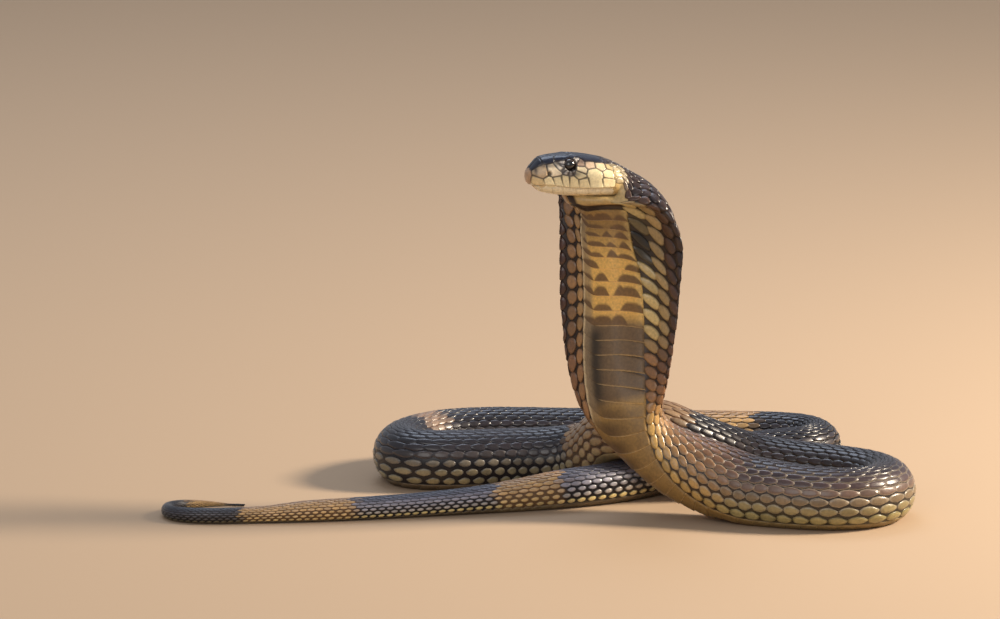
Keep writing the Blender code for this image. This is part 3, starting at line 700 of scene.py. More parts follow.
def throat_humps(s, across, along, number):
    """How dark the humps are that stand on the throat plates' free edges."""
    # There are chances for five humps on a plate, and it has up to four
    most_plates = 260
    humps = np.random.default_rng(7).random((most_plates, 5, 3))
    marks = np.zeros(len(s))
    for k in range(4):
        pick = humps[np.clip(number, 0, most_plates - 1), k]
        centre = -0.66 + 0.46 * k + 0.22 * (pick[:, 0] - 0.5)
        half = 0.17 + 0.20 * pick[:, 1]
        tall = np.where(pick[:, 2] > 0.20, 0.30 + 0.34 * pick[:, 2], 0.0)
        slope = 1.0 - (np.abs(across - centre) / half) ** (1.3 + 2.6 * pick[:, 1])
        height = tall * np.clip(slope, 0.0, 1.0)
        marks = np.maximum(marks, smooth(-0.09, 0.07, height - (0.43 - along)) * (height > 0.0))
    marks *= 1.0 - smooth(0.41, 0.47, along)
    first_plates = 0.55 * smooth(-0.1, 0.35, along) * (1.0 - smooth(16.0, 30.0, s))
    marks = np.maximum(marks, first_plates)
    return marks * (1.0 - 0.85 * smooth(56.0, 62.0, s)) * (1.0 - smooth(120.0, 150.0, s))


def belly_tones(s, across, along, number):
    """Colour of the belly plates, with a dark throat band, dark humps, painted shade and painted
    highlights.

    Across runs from the snake's right (-1) to its left (1) and along from a plate's
    root (-0.5) to its free edge (0.5).
    """
    tone = mix(CHIN_BROWN, THROAT_GOLD, smooth(18.0, 34.0, s))
    tone = mix(tone, BAND_BROWN, between(53.0, 60.0, 88.0, 97.0, s))
    tone = mix(tone, NECK_OLIVE, smooth(88.0, 97.0, s))
    tone = mix(tone, LYING_OLIVE, smooth(150.0, 175.0, s))
    above_band = 1.0 - smooth(50.0, 60.0, s)
    tone = mix(tone, LEFT_CREAM, 0.4 * smooth(0.70, 0.95, across) * above_band)
    # Painted shade on the plates' right side plane and a painted highlight along their right edge, down to
    # the neck
    flank = 1.0 - smooth(90.0, 100.0, s)
    tone = mix(tone, RIGHT_SIDE_PAINTED_SHADE, 0.75 * smooth(-0.42, -0.62, across) * flank)
    tone = mix(tone, RIGHT_EDGE_PAINTED_HIGHLIGHT, 0.8 * smooth(-0.80, -0.90, across) * flank)
    tone = mix(tone, HUMP_BROWN, 0.86 * throat_humps(s, across, along, number))
    # Painted shadow in the fold beside the left wing
    fold_shadow = between(11.0, 15.0, 28.0, 33.0, s) * smooth(0.90, 0.98, across)
    tone = mix(tone, FOLD_PAINTED_SHADOW, 0.9 * fold_shadow)
    streak = np.exp(-((across + 0.40) / 0.22) ** 2) * between(57.0, 64.0, 86.0, 94.0, s)
    tone = mix(tone, STREAK_BLACK, 0.85 * streak)
    patch = np.exp(-((across + 0.25) / 0.60) ** 2) * between(84.0, 96.0, 120.0, 140.0, s)
    tone = mix(tone, PATCH_BROWN, 0.8 * patch * smooth(-0.45, 0.1, along))
    # Painted highlight along each throat plate's free edge
    lit_edge = smooth(0.38, 0.44, along) * (1.0 - smooth(130.0, 150.0, s))
    tone = mix(tone, FREE_EDGE_PAINTED_HIGHLIGHT, 0.55 * lit_edge)
    tone = mix(tone, BELLY_BAND_TAN, 0.8 * band_share(s))
    # Painted shade on the plates under the lying body
    return mix(tone, HIND_PAINTED_SHADE, 0.85 * smooth(330.0, 380.0, s))


# Colours of the head besides its plates
SMUDGE_GREY = linear(44, 38, 46)
SOCKET_GREY = linear(60, 52, 50)
# Brown of the head's dark seams, also painted shade in the mouth line and the nostrils' holes
SEAM_BROWN_AND_PAINTED_SHADE = linear(38, 28, 24)


def seeds():
    """Middle points of the head's plates: back, side, up, name, reach, colour."""
    dark = (9, 14, 38)
    cream = (236, 220, 176)
    warm = (238, 218, 170)
    grey = (206, 198, 190)
    chin = (232, 218, 184)
    plates = [
        (0.2, 0.0, -1.2, "rostral", 1.35, (182, 146, 112)),
        (3.4, 1.9, 5.0, "internasal", 1.0, dark),
        (7.6, 2.9, 7.6, "prefrontal", 1.1, dark),
        (12.6, 0.0, 8.4, "frontal", 1.0, dark),
        (16.2, 0.0, 8.4, "frontal", 0.9, dark),
        (13.6, 5.1, 7.4, "supraocular", 0.9, dark),
        (17.4, 5.4, 7.3, "supraocular", 1.0, dark),
        (20.4, 3.0, 7.9, "parietal", 1.0, dark),
        (24.2, 3.6, 7.4, "parietal", 1.1, dark),
        (28.0, 3.4, 6.6, "parietal", 1.0, dark),
        (24.6, 6.6, 6.9, "parietal", 1.0, dark),
        (28.8, 6.8, 6.0, "parietal", 1.0, dark),
        (33.0, 6.2, 5.0, "nape shield", 1.0, (44, 36, 44)),
        (4.8, 6.0, 1.4, "front nasal", 0.95, (202, 176, 140)),
        (10.0, 7.4, 1.6, "rear nasal", 0.95, (216, 200, 172)),
        (12.6, 7.8, 3.6, "preocular", 0.6, (218, 208, 192)),
        (21.3, 8.0, 4.6, "upper postocular", 0.8, (176, 150, 130)),
        (21.4, 9.2, 2.4, "middle postocular", 0.85, (218, 202, 168)),
        (20.4, 9.9, 0.0, "lower postocular", 0.8, cream),
        (24.8, 9.0, 4.2, "upper temporal", 1.0, (220, 192, 162)),
        (29.4, 9.4, 3.6, "rear upper temporal", 1.05, (226, 200, 162)),
        (33.6, 9.0, 2.8, "nape temporal", 1.0, (200, 176, 130)),
        (32.6, 11.4, 0.4, "rear lower temporal", 1.05, (236, 218, 172)),
        (35.8, 10.8, -0.4, "last temporal", 1.0, (214, 190, 136)),
        (4.0, 6.0, -3.0, "lip 1", 1.0, (222, 196, 146)),
        (7.9, 7.6, -2.6, "lip 2", 1.0, cream),
        (11.4, 8.4, -2.2, "lip 3", 1.0, cream),
        (14.5, 9.0, -2.2, "lip 4", 0.98, cream),
        (17.6, 9.8, -2.7, "lip 5", 1.05, warm),
        (21.8, 10.8, -3.2, "lip 6", 1.05, warm),
        (26.4, 12.0, -3.2, "lip 7", 1.15, (240, 224, 178)),
        (26.2, 11.4, 0.9, "lip 7", 1.15, (240, 224, 178)),
        (32.6, 12.6, -3.6, "lip 8", 1.1, (238, 220, 172)),
        (1.4, 0.0, -5.6, "mental", 1.0, (206, 178, 136)),
        (3.6, 3.6, -6.0, "lower lip 1", 1.0, chin),
        (7.4, 5.4, -6.4, "lower lip 2", 1.0, chin),
        (11.6, 6.9, -6.9, "lower lip 3", 1.0, chin),
        (16.4, 8.1, -7.3, "lower lip 4", 1.1, chin),
        (21.6, 9.4, -7.5, "lower lip 5", 1.1, chin),
        (26.6, 10.5, -7.4, "lower lip 6", 1.1, chin),
        (31.6, 11.0, -7.4, "lower lip 7", 1.1, chin),
        (7.6, 1.9, -8.2, "front chin shield", 1.1, chin),
        (14.2, 2.1, -9.2, "rear chin shield", 1.1, chin),
    ]
    eye_plates = 13
    brow = 6.6
    for k in range(eye_plates):
        angle = 2.0 * np.pi * (k + 0.5) / eye_plates
        back = EYE_PLACE[0] + 3.45 * np.cos(angle)
        up = EYE_PLACE[2] - 0.2 + 3.2 * np.sin(angle)
        if up < brow:
            plates.append((back, 8.3 - 0.35 * (up - 1.0), up, f"eye ring {k}", 0.42, grey))
    for row in range(5):
        for k in range(4):
            back = 20.2 + 3.6 * row + 1.8 * (k % 2)
            side = 1.2 + 2.5 * k
            plates.append((back, side, -9.9 + 0.16 * k, f"gular {row} {k}", 0.85, (222, 200, 154)))
    for k in range(6):
        plates.append((35.2, 1.0 + 2.1 * k, -10.0 + 0.22 * k * k, f"throat {k}", 0.8, (196, 168, 112)))
    return plates


def head_plates(points):
    """Each point's distance past its plate's edge, and its plate's colour.

    Points are back, to the side and up from the snout tip.
    """
    rows = []
    for back, side, up, name, reach, colour in seeds():
        rows.append((back, side, up, reach, name, colour))
        if side > 0.0:
            rows.append((back, -side, up, reach, name + " far", colour))
    names = sorted({row[4] for row in rows})
    colours = {row[4]: row[5] for row in rows}
    nearest = np.full((len(points), len(names)), np.inf)
    slanted = points + 0.25 * points[:, 2:] * np.array((1.0, 0.0, 0.0))
    for back, side, up, reach, name, _ in rows:
        apart = slanted - np.array((back + 0.25 * up, side, up))
        gap = np.linalg.norm(apart * np.array((0.92, 1.0, 1.0)), axis=1) - 1.9 * reach
        column = names.index(name)
        nearest[:, column] = np.minimum(nearest[:, column], gap)
    order = np.argsort(nearest, axis=1)[:, :2]
    first = np.take_along_axis(nearest, order[:, :1], 1)[:, 0]
    second = np.take_along_axis(nearest, order[:, 1:2], 1)[:, 0]
    palette = np.array([linear(*colours[name]) for name in names])
    vary = np.random.default_rng(3).random(len(names))
    tone = palette[order[:, 0]] * (0.92 + 0.16 * vary[order[:, 0]])[:, None]
    return second - first, tone, np.array(names)[order[:, 0]]


def make_mesh(name, points, faces, attributes):
    """A mesh in place, with its named values at the points."""
    mesh = bpy.data.meshes.new(name)
    mesh.from_pydata(np.asarray(points).tolist(), [], [tuple(face) for face in faces])
    for key, values in attributes.items():
        values = np.asarray(values, np.float32)
        if values.ndim == 1:
            layer = mesh.attributes.new(key, "FLOAT", "POINT")
            layer.data.foreach_set("value", values)
        elif values.shape[1] == 4:
            layer = mesh.attributes.new(key, "FLOAT_COLOR", "POINT")
            layer.data.foreach_set("color", values.ravel())
        else:
            layer = mesh.attributes.new(key, "FLOAT_VECTOR", "POINT")
            layer.data.foreach_set("vector", values.ravel())
    mesh.update()
    return mesh


def add_object(name, mesh):
    """An object of the mesh in the scene."""
    obj = bpy.data.objects.new(name, mesh)
    bpy.context.scene.collection.objects.link(obj)
    return obj


def rgba(colours):
    """Colours held between black and white, with a full alpha."""
    colours = np.clip(colours, 0.0, 1.0)
    return np.concatenate([colours, np.ones((len(colours), 1))], axis=1)

def grid_faces(rows, columns):
    """Quads of a grid of points, rows by columns."""
    first = (np.arange(rows - 1)[:, None] * columns + np.arange(columns - 1)[None, :]).ravel()
    return np.stack([first, first + columns, first + columns + 1, first + 1], axis=1)


def plug(tree, node, inputs):
    """Links each named input of a node to an output, or sets its value."""
    for key, value in inputs.items():
        if isinstance(value, bpy.types.NodeSocket):
            tree.links.new(value, node.inputs[key])
        else:
            node.inputs[key].default_value = value


def add_node(tree, kind, inputs, **settings):
    """A new node of a tree, with its settings and inputs."""
    node = tree.nodes.new(kind)
    for key, value in settings.items():
        setattr(node, key, value)
    plug(tree, node, inputs)
    return node


def grain_group():
    """Fine mottling, roughness and relief that every skin, scale and plate shares."""
    name = "Reptile Grain"
    if name in bpy.data.node_groups:
        return bpy.data.node_groups[name]
    group = bpy.data.node_groups.new(name, "ShaderNodeTree")
    for label, kind, value in (
        ("Colour", "NodeSocketColor", (0.5, 0.5, 0.5, 1.0)),
        ("Mottle Size", "NodeSocketFloat", 900.0),
        ("Mottle", "NodeSocketFloat", 0.25),
        ("Grain Size", "NodeSocketFloat", 4200.0),
        ("Base Roughness", "NodeSocketFloat", 0.35),
    ):
        socket = group.interface.new_socket(label, in_out="INPUT", socket_type=kind)
        socket.default_value = value
    for label, kind in (
        ("Colour", "NodeSocketColor"), ("Roughness", "NodeSocketFloat"), ("Height", "NodeSocketFloat"),
    ):
        group.interface.new_socket(label, in_out="OUTPUT", socket_type=kind)
    source = add_node(group, "NodeGroupInput", {}).outputs
    place = add_node(group, "ShaderNodeTexCoord", {}).outputs["Object"]
    mottle = add_node(group, "ShaderNodeTexNoise", {
        "Vector": place, "Scale": source["Mottle Size"], "Detail": 4.0, "Roughness": 0.6,
    })
    shade = add_node(
        group, "ShaderNodeMath", {0: mottle.outputs["Fac"], 1: 0.5}, operation="SUBTRACT")
    share = add_node(
        group, "ShaderNodeMath", {0: shade.outputs[0], 1: source["Mottle"]}, operation="MULTIPLY")
    value = add_node(
        group, "ShaderNodeMath", {0: share.outputs[0], 1: 2.6, 2: 1.0}, operation="MULTIPLY_ADD")
    tint = add_node(
        group, "ShaderNodeVectorMath", {0: source["Colour"], "Scale": value.outputs[0]},
        operation="SCALE")
    rough = add_node(
        group, "ShaderNodeMath", {0: shade.outputs[0], 1: 0.30, 2: source["Base Roughness"]},
        operation="MULTIPLY_ADD", use_clamp=True)
    grain = add_node(group, "ShaderNodeTexNoise", {
        "Vector": place, "Scale": source["Grain Size"], "Detail": 2.0,
    })
    add_node(group, "NodeGroupOutput", {
        "Colour": tint.outputs["Vector"], "Roughness": rough.outputs[0], "Height": grain.outputs["Fac"],
    })
    return group


def new_material(name):
    """A material, its node tree and its Principled BSDF."""
    made = bpy.data.materials.new(name)
    made.use_nodes = True
    return made, made.node_tree, made.node_tree.nodes["Principled BSDF"]


def point_value(tree, name, output):
    """Output of a value that the mesh holds at its points."""
    return add_node(tree, "ShaderNodeAttribute", {}, attribute_name=name).outputs[output]


def reptile_material(name, roughness, mottle, bump, coat, rims=False):
    """Scaly skin coloured by the mesh's own tint, darker or paler at scale rims.

    Coat is how wet it looks, or the name of the value at the points that says so.
    """
    made, tree, shader = new_material(name)
    colour = point_value(tree, "tint", "Color")
    if rims:
        span = add_node(tree, "ShaderNodeMapRange", {
            "Value": point_value(tree, "edge", "Fac"), "From Min": 0.60, "From Max": 0.96,
        }, interpolation_type="SMOOTHSTEP")
        blend = add_node(tree, "ShaderNodeMix", {
            "Factor": span.outputs["Result"], "A": colour, "B": point_value(tree, "rim", "Color"),
        }, data_type="RGBA")
        colour = blend.outputs["Result"]
    grain = add_node(tree, "ShaderNodeGroup", {}, node_tree=grain_group())
    plug(tree, grain, {"Colour": colour, "Mottle": mottle, "Base Roughness": roughness})
    relief = add_node(tree, "ShaderNodeBump", {
        "Height": grain.outputs["Height"], "Strength": bump, "Distance": 0.0001,
    })
    if isinstance(coat, str):
        coat = point_value(tree, coat, "Fac")
    plug(tree, shader, {
        "Base Color": grain.outputs["Colour"], "Roughness": grain.outputs["Roughness"],
        "Normal": relief.outputs["Normal"], "Specular IOR Level": 0.5,
        "Coat Weight": coat, "Coat Roughness": 0.22,
    })
    return made


def eye_material(colour):
    """Black pupil in a very dark brown iris under a wet, clear scale."""
    made, tree, shader = new_material("Wet Eye")
    place = add_node(tree, "ShaderNodeTexCoord", {}).outputs["Object"]
    fibres = add_node(tree, "ShaderNodeTexNoise", {"Vector": place, "Scale": 2600.0, "Detail": 5.0})
    iris = add_node(tree, "ShaderNodeValToRGB", {"Fac": fibres.outputs["Fac"]})
    dark, light = iris.color_ramp.elements
    dark.position = 0.35
    dark.color = (*[0.4 * part for part in colour], 1.0)
    light.position = 0.75
    light.color = (*colour, 1.0)
    blend = add_node(tree, "ShaderNodeMix", {
        "Factor": point_value(tree, "pupil", "Fac"), "A": iris.outputs["Color"],
        "B": (0.002, 0.002, 0.0025, 1.0),
    }, data_type="RGBA")
    plug(tree, shader, {
        "Base Color": blend.outputs["Result"], "Roughness": 0.12,
        "Coat Weight": 1.0, "Coat Roughness": 0.02,
    })
    return made


def scale_shape(name, along, across, square, head_height, corner=1.7, lined=False):
    """One scale as a closed shell on the flat, from -0.5 to 0.5 both ways.

    The rim lies in the skin, and the free end at +0.5 stands highest, at 1. A square
    one is a belly plate, with its corners drawn back, and the others are rounded by
    corner. A lined one has an underside like its top, and the others one flat face.
    """
    buried = 0.4
    p, q = np.meshgrid(np.asarray(along), np.asarray(across), indexing="ij")
    out = np.maximum(np.abs(p), np.abs(q))
    climb = head_height + (1.0 - head_height) * (p + 1.0) / 2.0
    if square:
        x = p * (1.0 - 0.06 * q * q) - 1.6 * np.clip(-0.3 - q, 0.0, 1.0) ** 1.5
        y = q.copy()
        fall = np.maximum(smooth(0.80, 1.0, np.abs(p)), smooth(0.94, 1.0, np.abs(q)))
    else:
        x = p * np.sqrt(1.0 - 0.5 * q * q)
        y = q * np.sqrt(1.0 - 0.5 * p * p)
        angle = np.arctan2(np.abs(y), np.abs(x) + 1e-9)
        round_off = (np.cos(angle) ** corner + np.sin(angle) ** corner) ** (-1.0 / corner)
        x = x * round_off
        y = y * round_off * (1.0 - 0.34 * np.clip(p, 0.0, 1.0) ** 1.5)
        climb = climb * (0.60 + 0.40 * (1.0 - out ** 2))
        fall = smooth(0.80, 1.0, out)
    z = -buried + (climb + buried) * (1.0 - fall)
    points = np.stack([0.5 * x, 0.5 * y, z], axis=-1).reshape(-1, 3)
    rows, columns = p.shape
    quads = grid_faces(rows, columns)
    faces = quads.tolist()
    index = np.arange(rows * columns).reshape(rows, columns)
    out = out.ravel()
    if lined:
        inner = index[1:-1, 1:-1].ravel()
        under = index.copy()
        under[1:-1, 1:-1] = (rows * columns + np.arange(len(inner))).reshape(rows - 2, -1)
        points = np.concatenate([points, points[inner] * (1.0, 1.0, 0.0) - (0.0, 0.0, buried)])
        out = np.concatenate([out, out[inner]])
        faces += under.ravel()[quads[:, ::-1]].tolist()
    else:
        sides = (index[0, :], index[1:, -1], index[-1, -2::-1], index[-2:0:-1, 0])
        faces.append(np.concatenate(sides).tolist())
    mesh = make_mesh(name, points, faces, {"edge": out, "local": points})
    mesh.shade_smooth()
    return add_object(name, mesh)


def scale_tree():
    """Geometry nodes that lay copies of one scale over a surface.

    Each point of a copy is first placed on the flat, by its root's own axes, and then
    over the place of the surface's flat sheet that it falls on.
    """
    name = "Scales Over A Surface"
    if name in bpy.data.node_groups:
        return bpy.data.node_groups[name]
    tree = bpy.data.node_groups.new(name, "GeometryNodeTree")
    for label, kind in (
        ("Roots", "Geometry"), ("Scale Shape", "Object"), ("Surface", "Object"),
        ("Thickness", "Float"), ("Lowest", "Float"), ("Patch", "Float"), ("Material", "Material"),
    ):
        tree.interface.new_socket(label, in_out="INPUT", socket_type="NodeSocket" + kind)
    tree.interface.new_socket("Scales", in_out="OUTPUT", socket_type="NodeSocketGeometry")
    source = add_node(tree, "NodeGroupInput", {}).outputs

    def value_of(attribute):
        node = add_node(
            tree, "GeometryNodeInputNamedAttribute", {"Name": attribute}, data_type="FLOAT_VECTOR")
        return node.outputs["Attribute"]

    def scaled(vector, factor):
        node = add_node(tree, "ShaderNodeVectorMath", {0: vector, "Scale": factor}, operation="SCALE")
        return node.outputs["Vector"]

    def added(first, second):
        node = add_node(tree, "ShaderNodeVectorMath", {0: first, 1: second}, operation="ADD")
        return node.outputs["Vector"]

    def stored(geometry, attribute, value, kind, domain):
        node = add_node(
            tree, "GeometryNodeStoreNamedAttribute",
            {"Geometry": geometry, "Name": attribute, "Value": value}, data_type=kind, domain=domain)
        return node.outputs["Geometry"]

    shape = add_node(tree, "GeometryNodeObjectInfo", {"Object": source["Scale Shape"]})
    surface = add_node(tree, "GeometryNodeObjectInfo", {"Object": source["Surface"]})
    copies = add_node(tree, "GeometryNodeInstanceOnPoints", {
        "Points": source["Roots"], "Instance": shape.outputs["Geometry"],
    })
    real = add_node(tree, "GeometryNodeRealizeInstances", {"Geometry": copies.outputs["Instances"]})
    own = add_node(tree, "ShaderNodeSeparateXYZ", {0: value_of("local")})
    spot = value_of("stem")
    for axis, part in (("run", "X"), ("span", "Y"), ("stand", "Z")):
        spot = added(spot, scaled(value_of(axis), own.outputs[part]))
    flat = stored(real.outputs["Geometry"], "flat", spot, "FLOAT_VECTOR", "POINT")
    parts = add_node(tree, "ShaderNodeSeparateXYZ", {0: value_of("flat")})
    under = add_node(tree, "ShaderNodeCombineXYZ", {
        "X": parts.outputs["X"], "Y": parts.outputs["Y"],
    })

    def sampled(attribute):
        node = add_node(tree, "GeometryNodeSampleNearestSurface", {
            "Mesh": surface.outputs["Geometry"], "Value": value_of(attribute),
            "Sample Position": under.outputs[0],
        }, data_type="FLOAT_VECTOR")
        return node.outputs["Value"]

    height = add_node(
        tree, "ShaderNodeMath", {0: parts.outputs["Z"], 1: source["Thickness"]}, operation="MULTIPLY")
    place = added(sampled("place"), scaled(sampled("out"), height.outputs[0]))
    where = add_node(tree, "ShaderNodeSeparateXYZ", {0: place})
    above = add_node(
        tree, "ShaderNodeMath", {0: where.outputs["Z"], 1: source["Lowest"]}, operation="MAXIMUM")
    laid = add_node(tree, "ShaderNodeCombineXYZ", {
        "X": where.outputs["X"], "Y": where.outputs["Y"], "Z": above.outputs[0],
    })
    moved = add_node(tree, "GeometryNodeSetPosition", {"Geometry": flat, "Position": laid.outputs[0]})
    corner = added(value_of("root"), scaled(value_of("local"), source["Patch"]))
    mapped = stored(moved.outputs["Geometry"], "OFBake", corner, "FLOAT2", "CORNER")
    last = add_node(tree, "GeometryNodeRealizeInstances", {"Geometry": mapped})
    dressed = add_node(tree, "GeometryNodeSetMaterial", {
        "Geometry": last.outputs["Geometry"], "Material": source["Material"],
    })
    add_node(tree, "NodeGroupOutput", {"Scales": dressed.outputs["Geometry"]})
    return tree


def sheet_object(name, stops, lanes, lane_arcs):
    """The skin's surface laid flat: distance along X and lane along Y."""
    grid, out = sheet_grid(stops, lanes, lane_arcs)
    x, y = np.meshgrid(stops, lanes, indexing="ij")
    flat = np.stack([x, y, np.zeros_like(x)], axis=-1).reshape(-1, 3)
    faces = grid_faces(len(stops), len(lanes))
    values = {"place": grid.reshape(-1, 3), "out": out.reshape(-1, 3)}
    return add_object(name, make_mesh(name, flat, faces, values))


def scale_axes(size, lean):
    """Axes of scales on the flat sheet: along, across and height.

    Size is length, width in lanes and height; lean turns a scale, in lanes per
    millimetre along.
    """
    zero = np.zeros(len(size))
    run = np.stack([size[:, 0], size[:, 0] * lean, zero], axis=1)
    span = np.stack([zero, size[:, 1], zero], axis=1)
    stand = np.stack([zero, zero, size[:, 2]], axis=1)
    return {"run": run, "span": span, "stand": stand}


def lay_scales(name, roots, values, shape, sheet, thickness, material):
    """Runs the tree on root points and returns the plain mesh object."""
    values = dict(values, stem=roots)
    host = add_object(name + "_roots", make_mesh(name + "_roots", roots, [], values))
    modifier = host.modifiers.new("Scales", "NODES")
    modifier.node_group = scale_tree()
    inputs = {
        "Scale Shape": shape, "Surface": sheet, "Thickness": thickness,
        "Lowest": 0.0, "Patch": PATCH, "Material": material,
    }
    for item in modifier.node_group.interface.items_tree:
        if item.in_out == "INPUT" and item.name in inputs:
            modifier[item.identifier] = inputs[item.name]
    host.update_tag()
    graph = bpy.context.evaluated_depsgraph_get()
    mesh = bpy.data.meshes.new_from_object(
        host.evaluated_get(graph), preserve_all_data_layers=True, depsgraph=graph
    )
    if not len(mesh.polygons):
        raise RuntimeError(f"{name} has no scales")
    mesh.name = name
    mesh.shade_smooth()
    obj = add_object(name, mesh)
    bpy.data.objects.remove(host)
    return obj


def read_vectors(mesh, key):
    """A named vector of each point."""
    values = np.empty(len(mesh.vertices) * 3, np.float32)
    mesh.attributes[key].data.foreach_get("vector", values)
    return values.reshape(-1, 3)


def drop_helpers(mesh):
    """Removes the values that only the laying of scales needed."""
    for key in ("flat", "local", "stem", "run", "span", "stand", "root", "number"):
        if key in mesh.attributes:
            mesh.attributes.remove(mesh.attributes[key])


def finish_piece(obj):
    """Sets the piece on the part's one body."""
    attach(obj, "root")


def pitch_at(s):
    """Length of the back's scales at distances s."""
    return np.interp(s, [row[0] for row in PITCH], [row[1] for row in PITCH])

def pitch_stops(first, last, share):
    """Distances of the roots along one row, share of a pitch shifted."""
    s = first
    stops = []
    while s < last:
        pitch = float(pitch_at(s))
        stops.append(s + share * pitch)
        s += pitch
    return np.array([stop for stop in stops if stop < last])


def surface_stretch(stops, lanes, lane_arcs):
    """Surface length for each millimetre along, at stops half a millimetre apart."""
    grid, _ = sheet_grid(stops, lanes, lane_arcs)
    stretch = np.linalg.norm(np.gradient(grid, 0.5 * MM, axis=0), axis=2)
    return np.clip(stretch, 0.6, 6.0)


def even_stops(stops, pull, start, last_share):
    """Distances of roots at a true pitch from start to the last stop."""
    count = np.concatenate([[0.0], np.cumsum(0.5 * (pull / pitch_at(stops))[1:])])
    count -= np.interp(start, stops, count)
    whole = max(round(count[-1] - last_share), 1) + last_share
    count *= whole / count[-1]
    return np.interp(np.arange(int(whole - 0.4) + 1), count, stops)


def row_start(lane):
    """Distance at which a row begins: the lowest at the jaw, the top ones on the head."""
    if lane < 2.0:
        return -0.5
    return -7.6 - 5.0 * np.exp(-((lane - ROWS / 2.0) / 3.6) ** 2)


def coat_roots():
    """Roots of the back's scales: distance, lane, size, lean and three chances."""
    rng = np.random.default_rng(11)
    stops = np.arange(-19.0, HOOD_ROWS_END + 0.1, 0.5)
    stretch = surface_stretch(stops, np.arange(ROWS) + 0.5, row_arcs_wide)
    roots = []
    for row in range(ROWS):
        lane = row + 0.5
        share = 0.5 * (row % 2)
        for s in even_stops(stops, stretch[:, row], row_start(lane), share):
            roots.append((s, lane, float(np.interp(s, stops, stretch[:, row]))))
        for s in pitch_stops(HOOD_ROWS_END, TAIL_TIP, share):
            roots.append((s, lane, 1.0))
    s, lane, pull = np.array(roots).T
    t = np.minimum(lane, ROWS - lane) / (ROWS / 2.0)
    pitch = pitch_at(s)
    spread = np.where(s < 130.0, eased(SPREAD, s)[:, 0], 0.0)
    spread = np.where(s < 0.0, 0.1, spread)
    low_rows = (1.0 - smooth(0.25, 0.45, t)) * smooth(100.0, 140.0, s)
    dots = low_rows * smooth(360.0, 440.0, s)
    length = pitch * (1.46 - 0.42 * spread - 0.36 * low_rows - 0.20 * dots) / pull
    near = lane < ROWS / 2.0
    wide = 1.25 - np.where(near, 0.04, 0.20) * spread - 0.20 * low_rows - 0.15 * dots
    lean = np.where(near, 0.085, -0.04) * spread * smooth(0.40, 0.10, t) * smooth(2.0, 8.0, s)
    thick = (0.62 + 0.38 * np.clip(pitch / 6.0, 0.2, 1.0)) * np.clip(pitch / 4.5, 0.3, 1.0)
    chance = rng.random((len(s), 5))
    size = np.stack([
        length * (0.96 + 0.08 * chance[:, 0]),
        wide * (0.96 + 0.08 * chance[:, 1]),
        thick * (0.9 + 0.2 * chance[:, 2]),
    ], axis=1)
    return s, lane, size, lean, chance[:, 2:]


def sheets():
    """The flat sheets of the back and of the belly, made once."""
    if "back_sheet" not in bpy.data.objects:
        stops = np.concatenate([
            np.arange(-30.0, 120.0, 0.75), np.arange(120.0, TAIL_TIP + 0.3, 1.0), [TAIL_TIP + 0.5],
        ])
        sheet_object("back_sheet", stops, np.linspace(-0.6, ROWS + 0.6, 163), row_arcs_wide)
        sheet_object("belly_sheet", stops, np.linspace(-1.12, 1.12, 57), belly_arcs)
    return bpy.data.objects["back_sheet"], bpy.data.objects["belly_sheet"]


def row_arcs_wide(s, arc, rows):
    """Row places that go on a little past both edges of the belly."""
    last = float(ROWS)
    first_arc, next_arc, before_arc, last_arc = row_arcs(s, arc, np.array([0.0, 0.5, last - 0.5, last]))
    below = first_arc + 2.0 * (next_arc - first_arc) * rows
    beyond = last_arc + 2.0 * (last_arc - before_arc) * (rows - last)
    inside = row_arcs(s, arc, np.clip(rows, 0.0, last))
    return np.where(rows < 0.0, below, np.where(rows > last, beyond, inside))


class SkinSettings(bpy.types.PropertyGroup):
    """Sizes of the skin's mesh and relief."""

    sides: bpy.props.IntProperty(
        name="Sides", description="Points round the body", default=96, min=24)
    step: bpy.props.FloatProperty(
        name="Step", description="Distance between rings", default=0.003, unit="LENGTH")
    suture_depth: bpy.props.FloatProperty(
        name="Suture Depth", description="Depth of the grooves between the head's plates",
        default=0.00022, unit="LENGTH")
    mouth_depth: bpy.props.FloatProperty(
        name="Mouth Depth", description="Depth of the closed mouth line", default=0.0004,
        unit="LENGTH")


class CoatSettings(bpy.types.PropertyGroup):
    """Sizes of the scales and belly plates."""

    scale_thickness: bpy.props.FloatProperty(
        name="Scale Thickness", description="How far a scale's free end stands up",
        default=0.00052, unit="LENGTH")
    plate_thickness: bpy.props.FloatProperty(
        name="Belly Plate Thickness", description="How far a belly plate's free edge stands up",
        default=0.00062, unit="LENGTH")
    roughness: bpy.props.FloatProperty(
        name="Roughness", description="Roughness of the scales", default=0.34,
        subtype="FACTOR", min=0.0, max=1.0)


class EyeSettings(bpy.types.PropertyGroup):
    """Size and colour of the eyes."""

    radius: bpy.props.FloatProperty(
        name="Radius", description="Radius of an eyeball", default=EYE_RADIUS * MM, unit="LENGTH")
    iris: bpy.props.FloatVectorProperty(
        name="Iris", description="Colour of the iris", default=(0.055, 0.030, 0.016),
        subtype="COLOR", size=3, min=0.0, max=1.0)


class StageSettings(bpy.types.PropertyGroup):
    """Colours and strengths of the studio."""

    floor: bpy.props.FloatVectorProperty(
        name="Floor", description="Colour of the floor", default=(0.50, 0.365, 0.25),
        subtype="COLOR", size=3, min=0.0, max=1.0)
    key: bpy.props.FloatProperty(
        name="Key Light", description="Power of the warm light from the right", default=32.0)
    fill: bpy.props.FloatProperty(
        name="Fill Light", description="Power of the cool light from above", default=7.5)
    distance: bpy.props.FloatProperty(
        name="Camera Distance", description="From the camera to the middle of the view",
        default=3.0, unit="LENGTH")


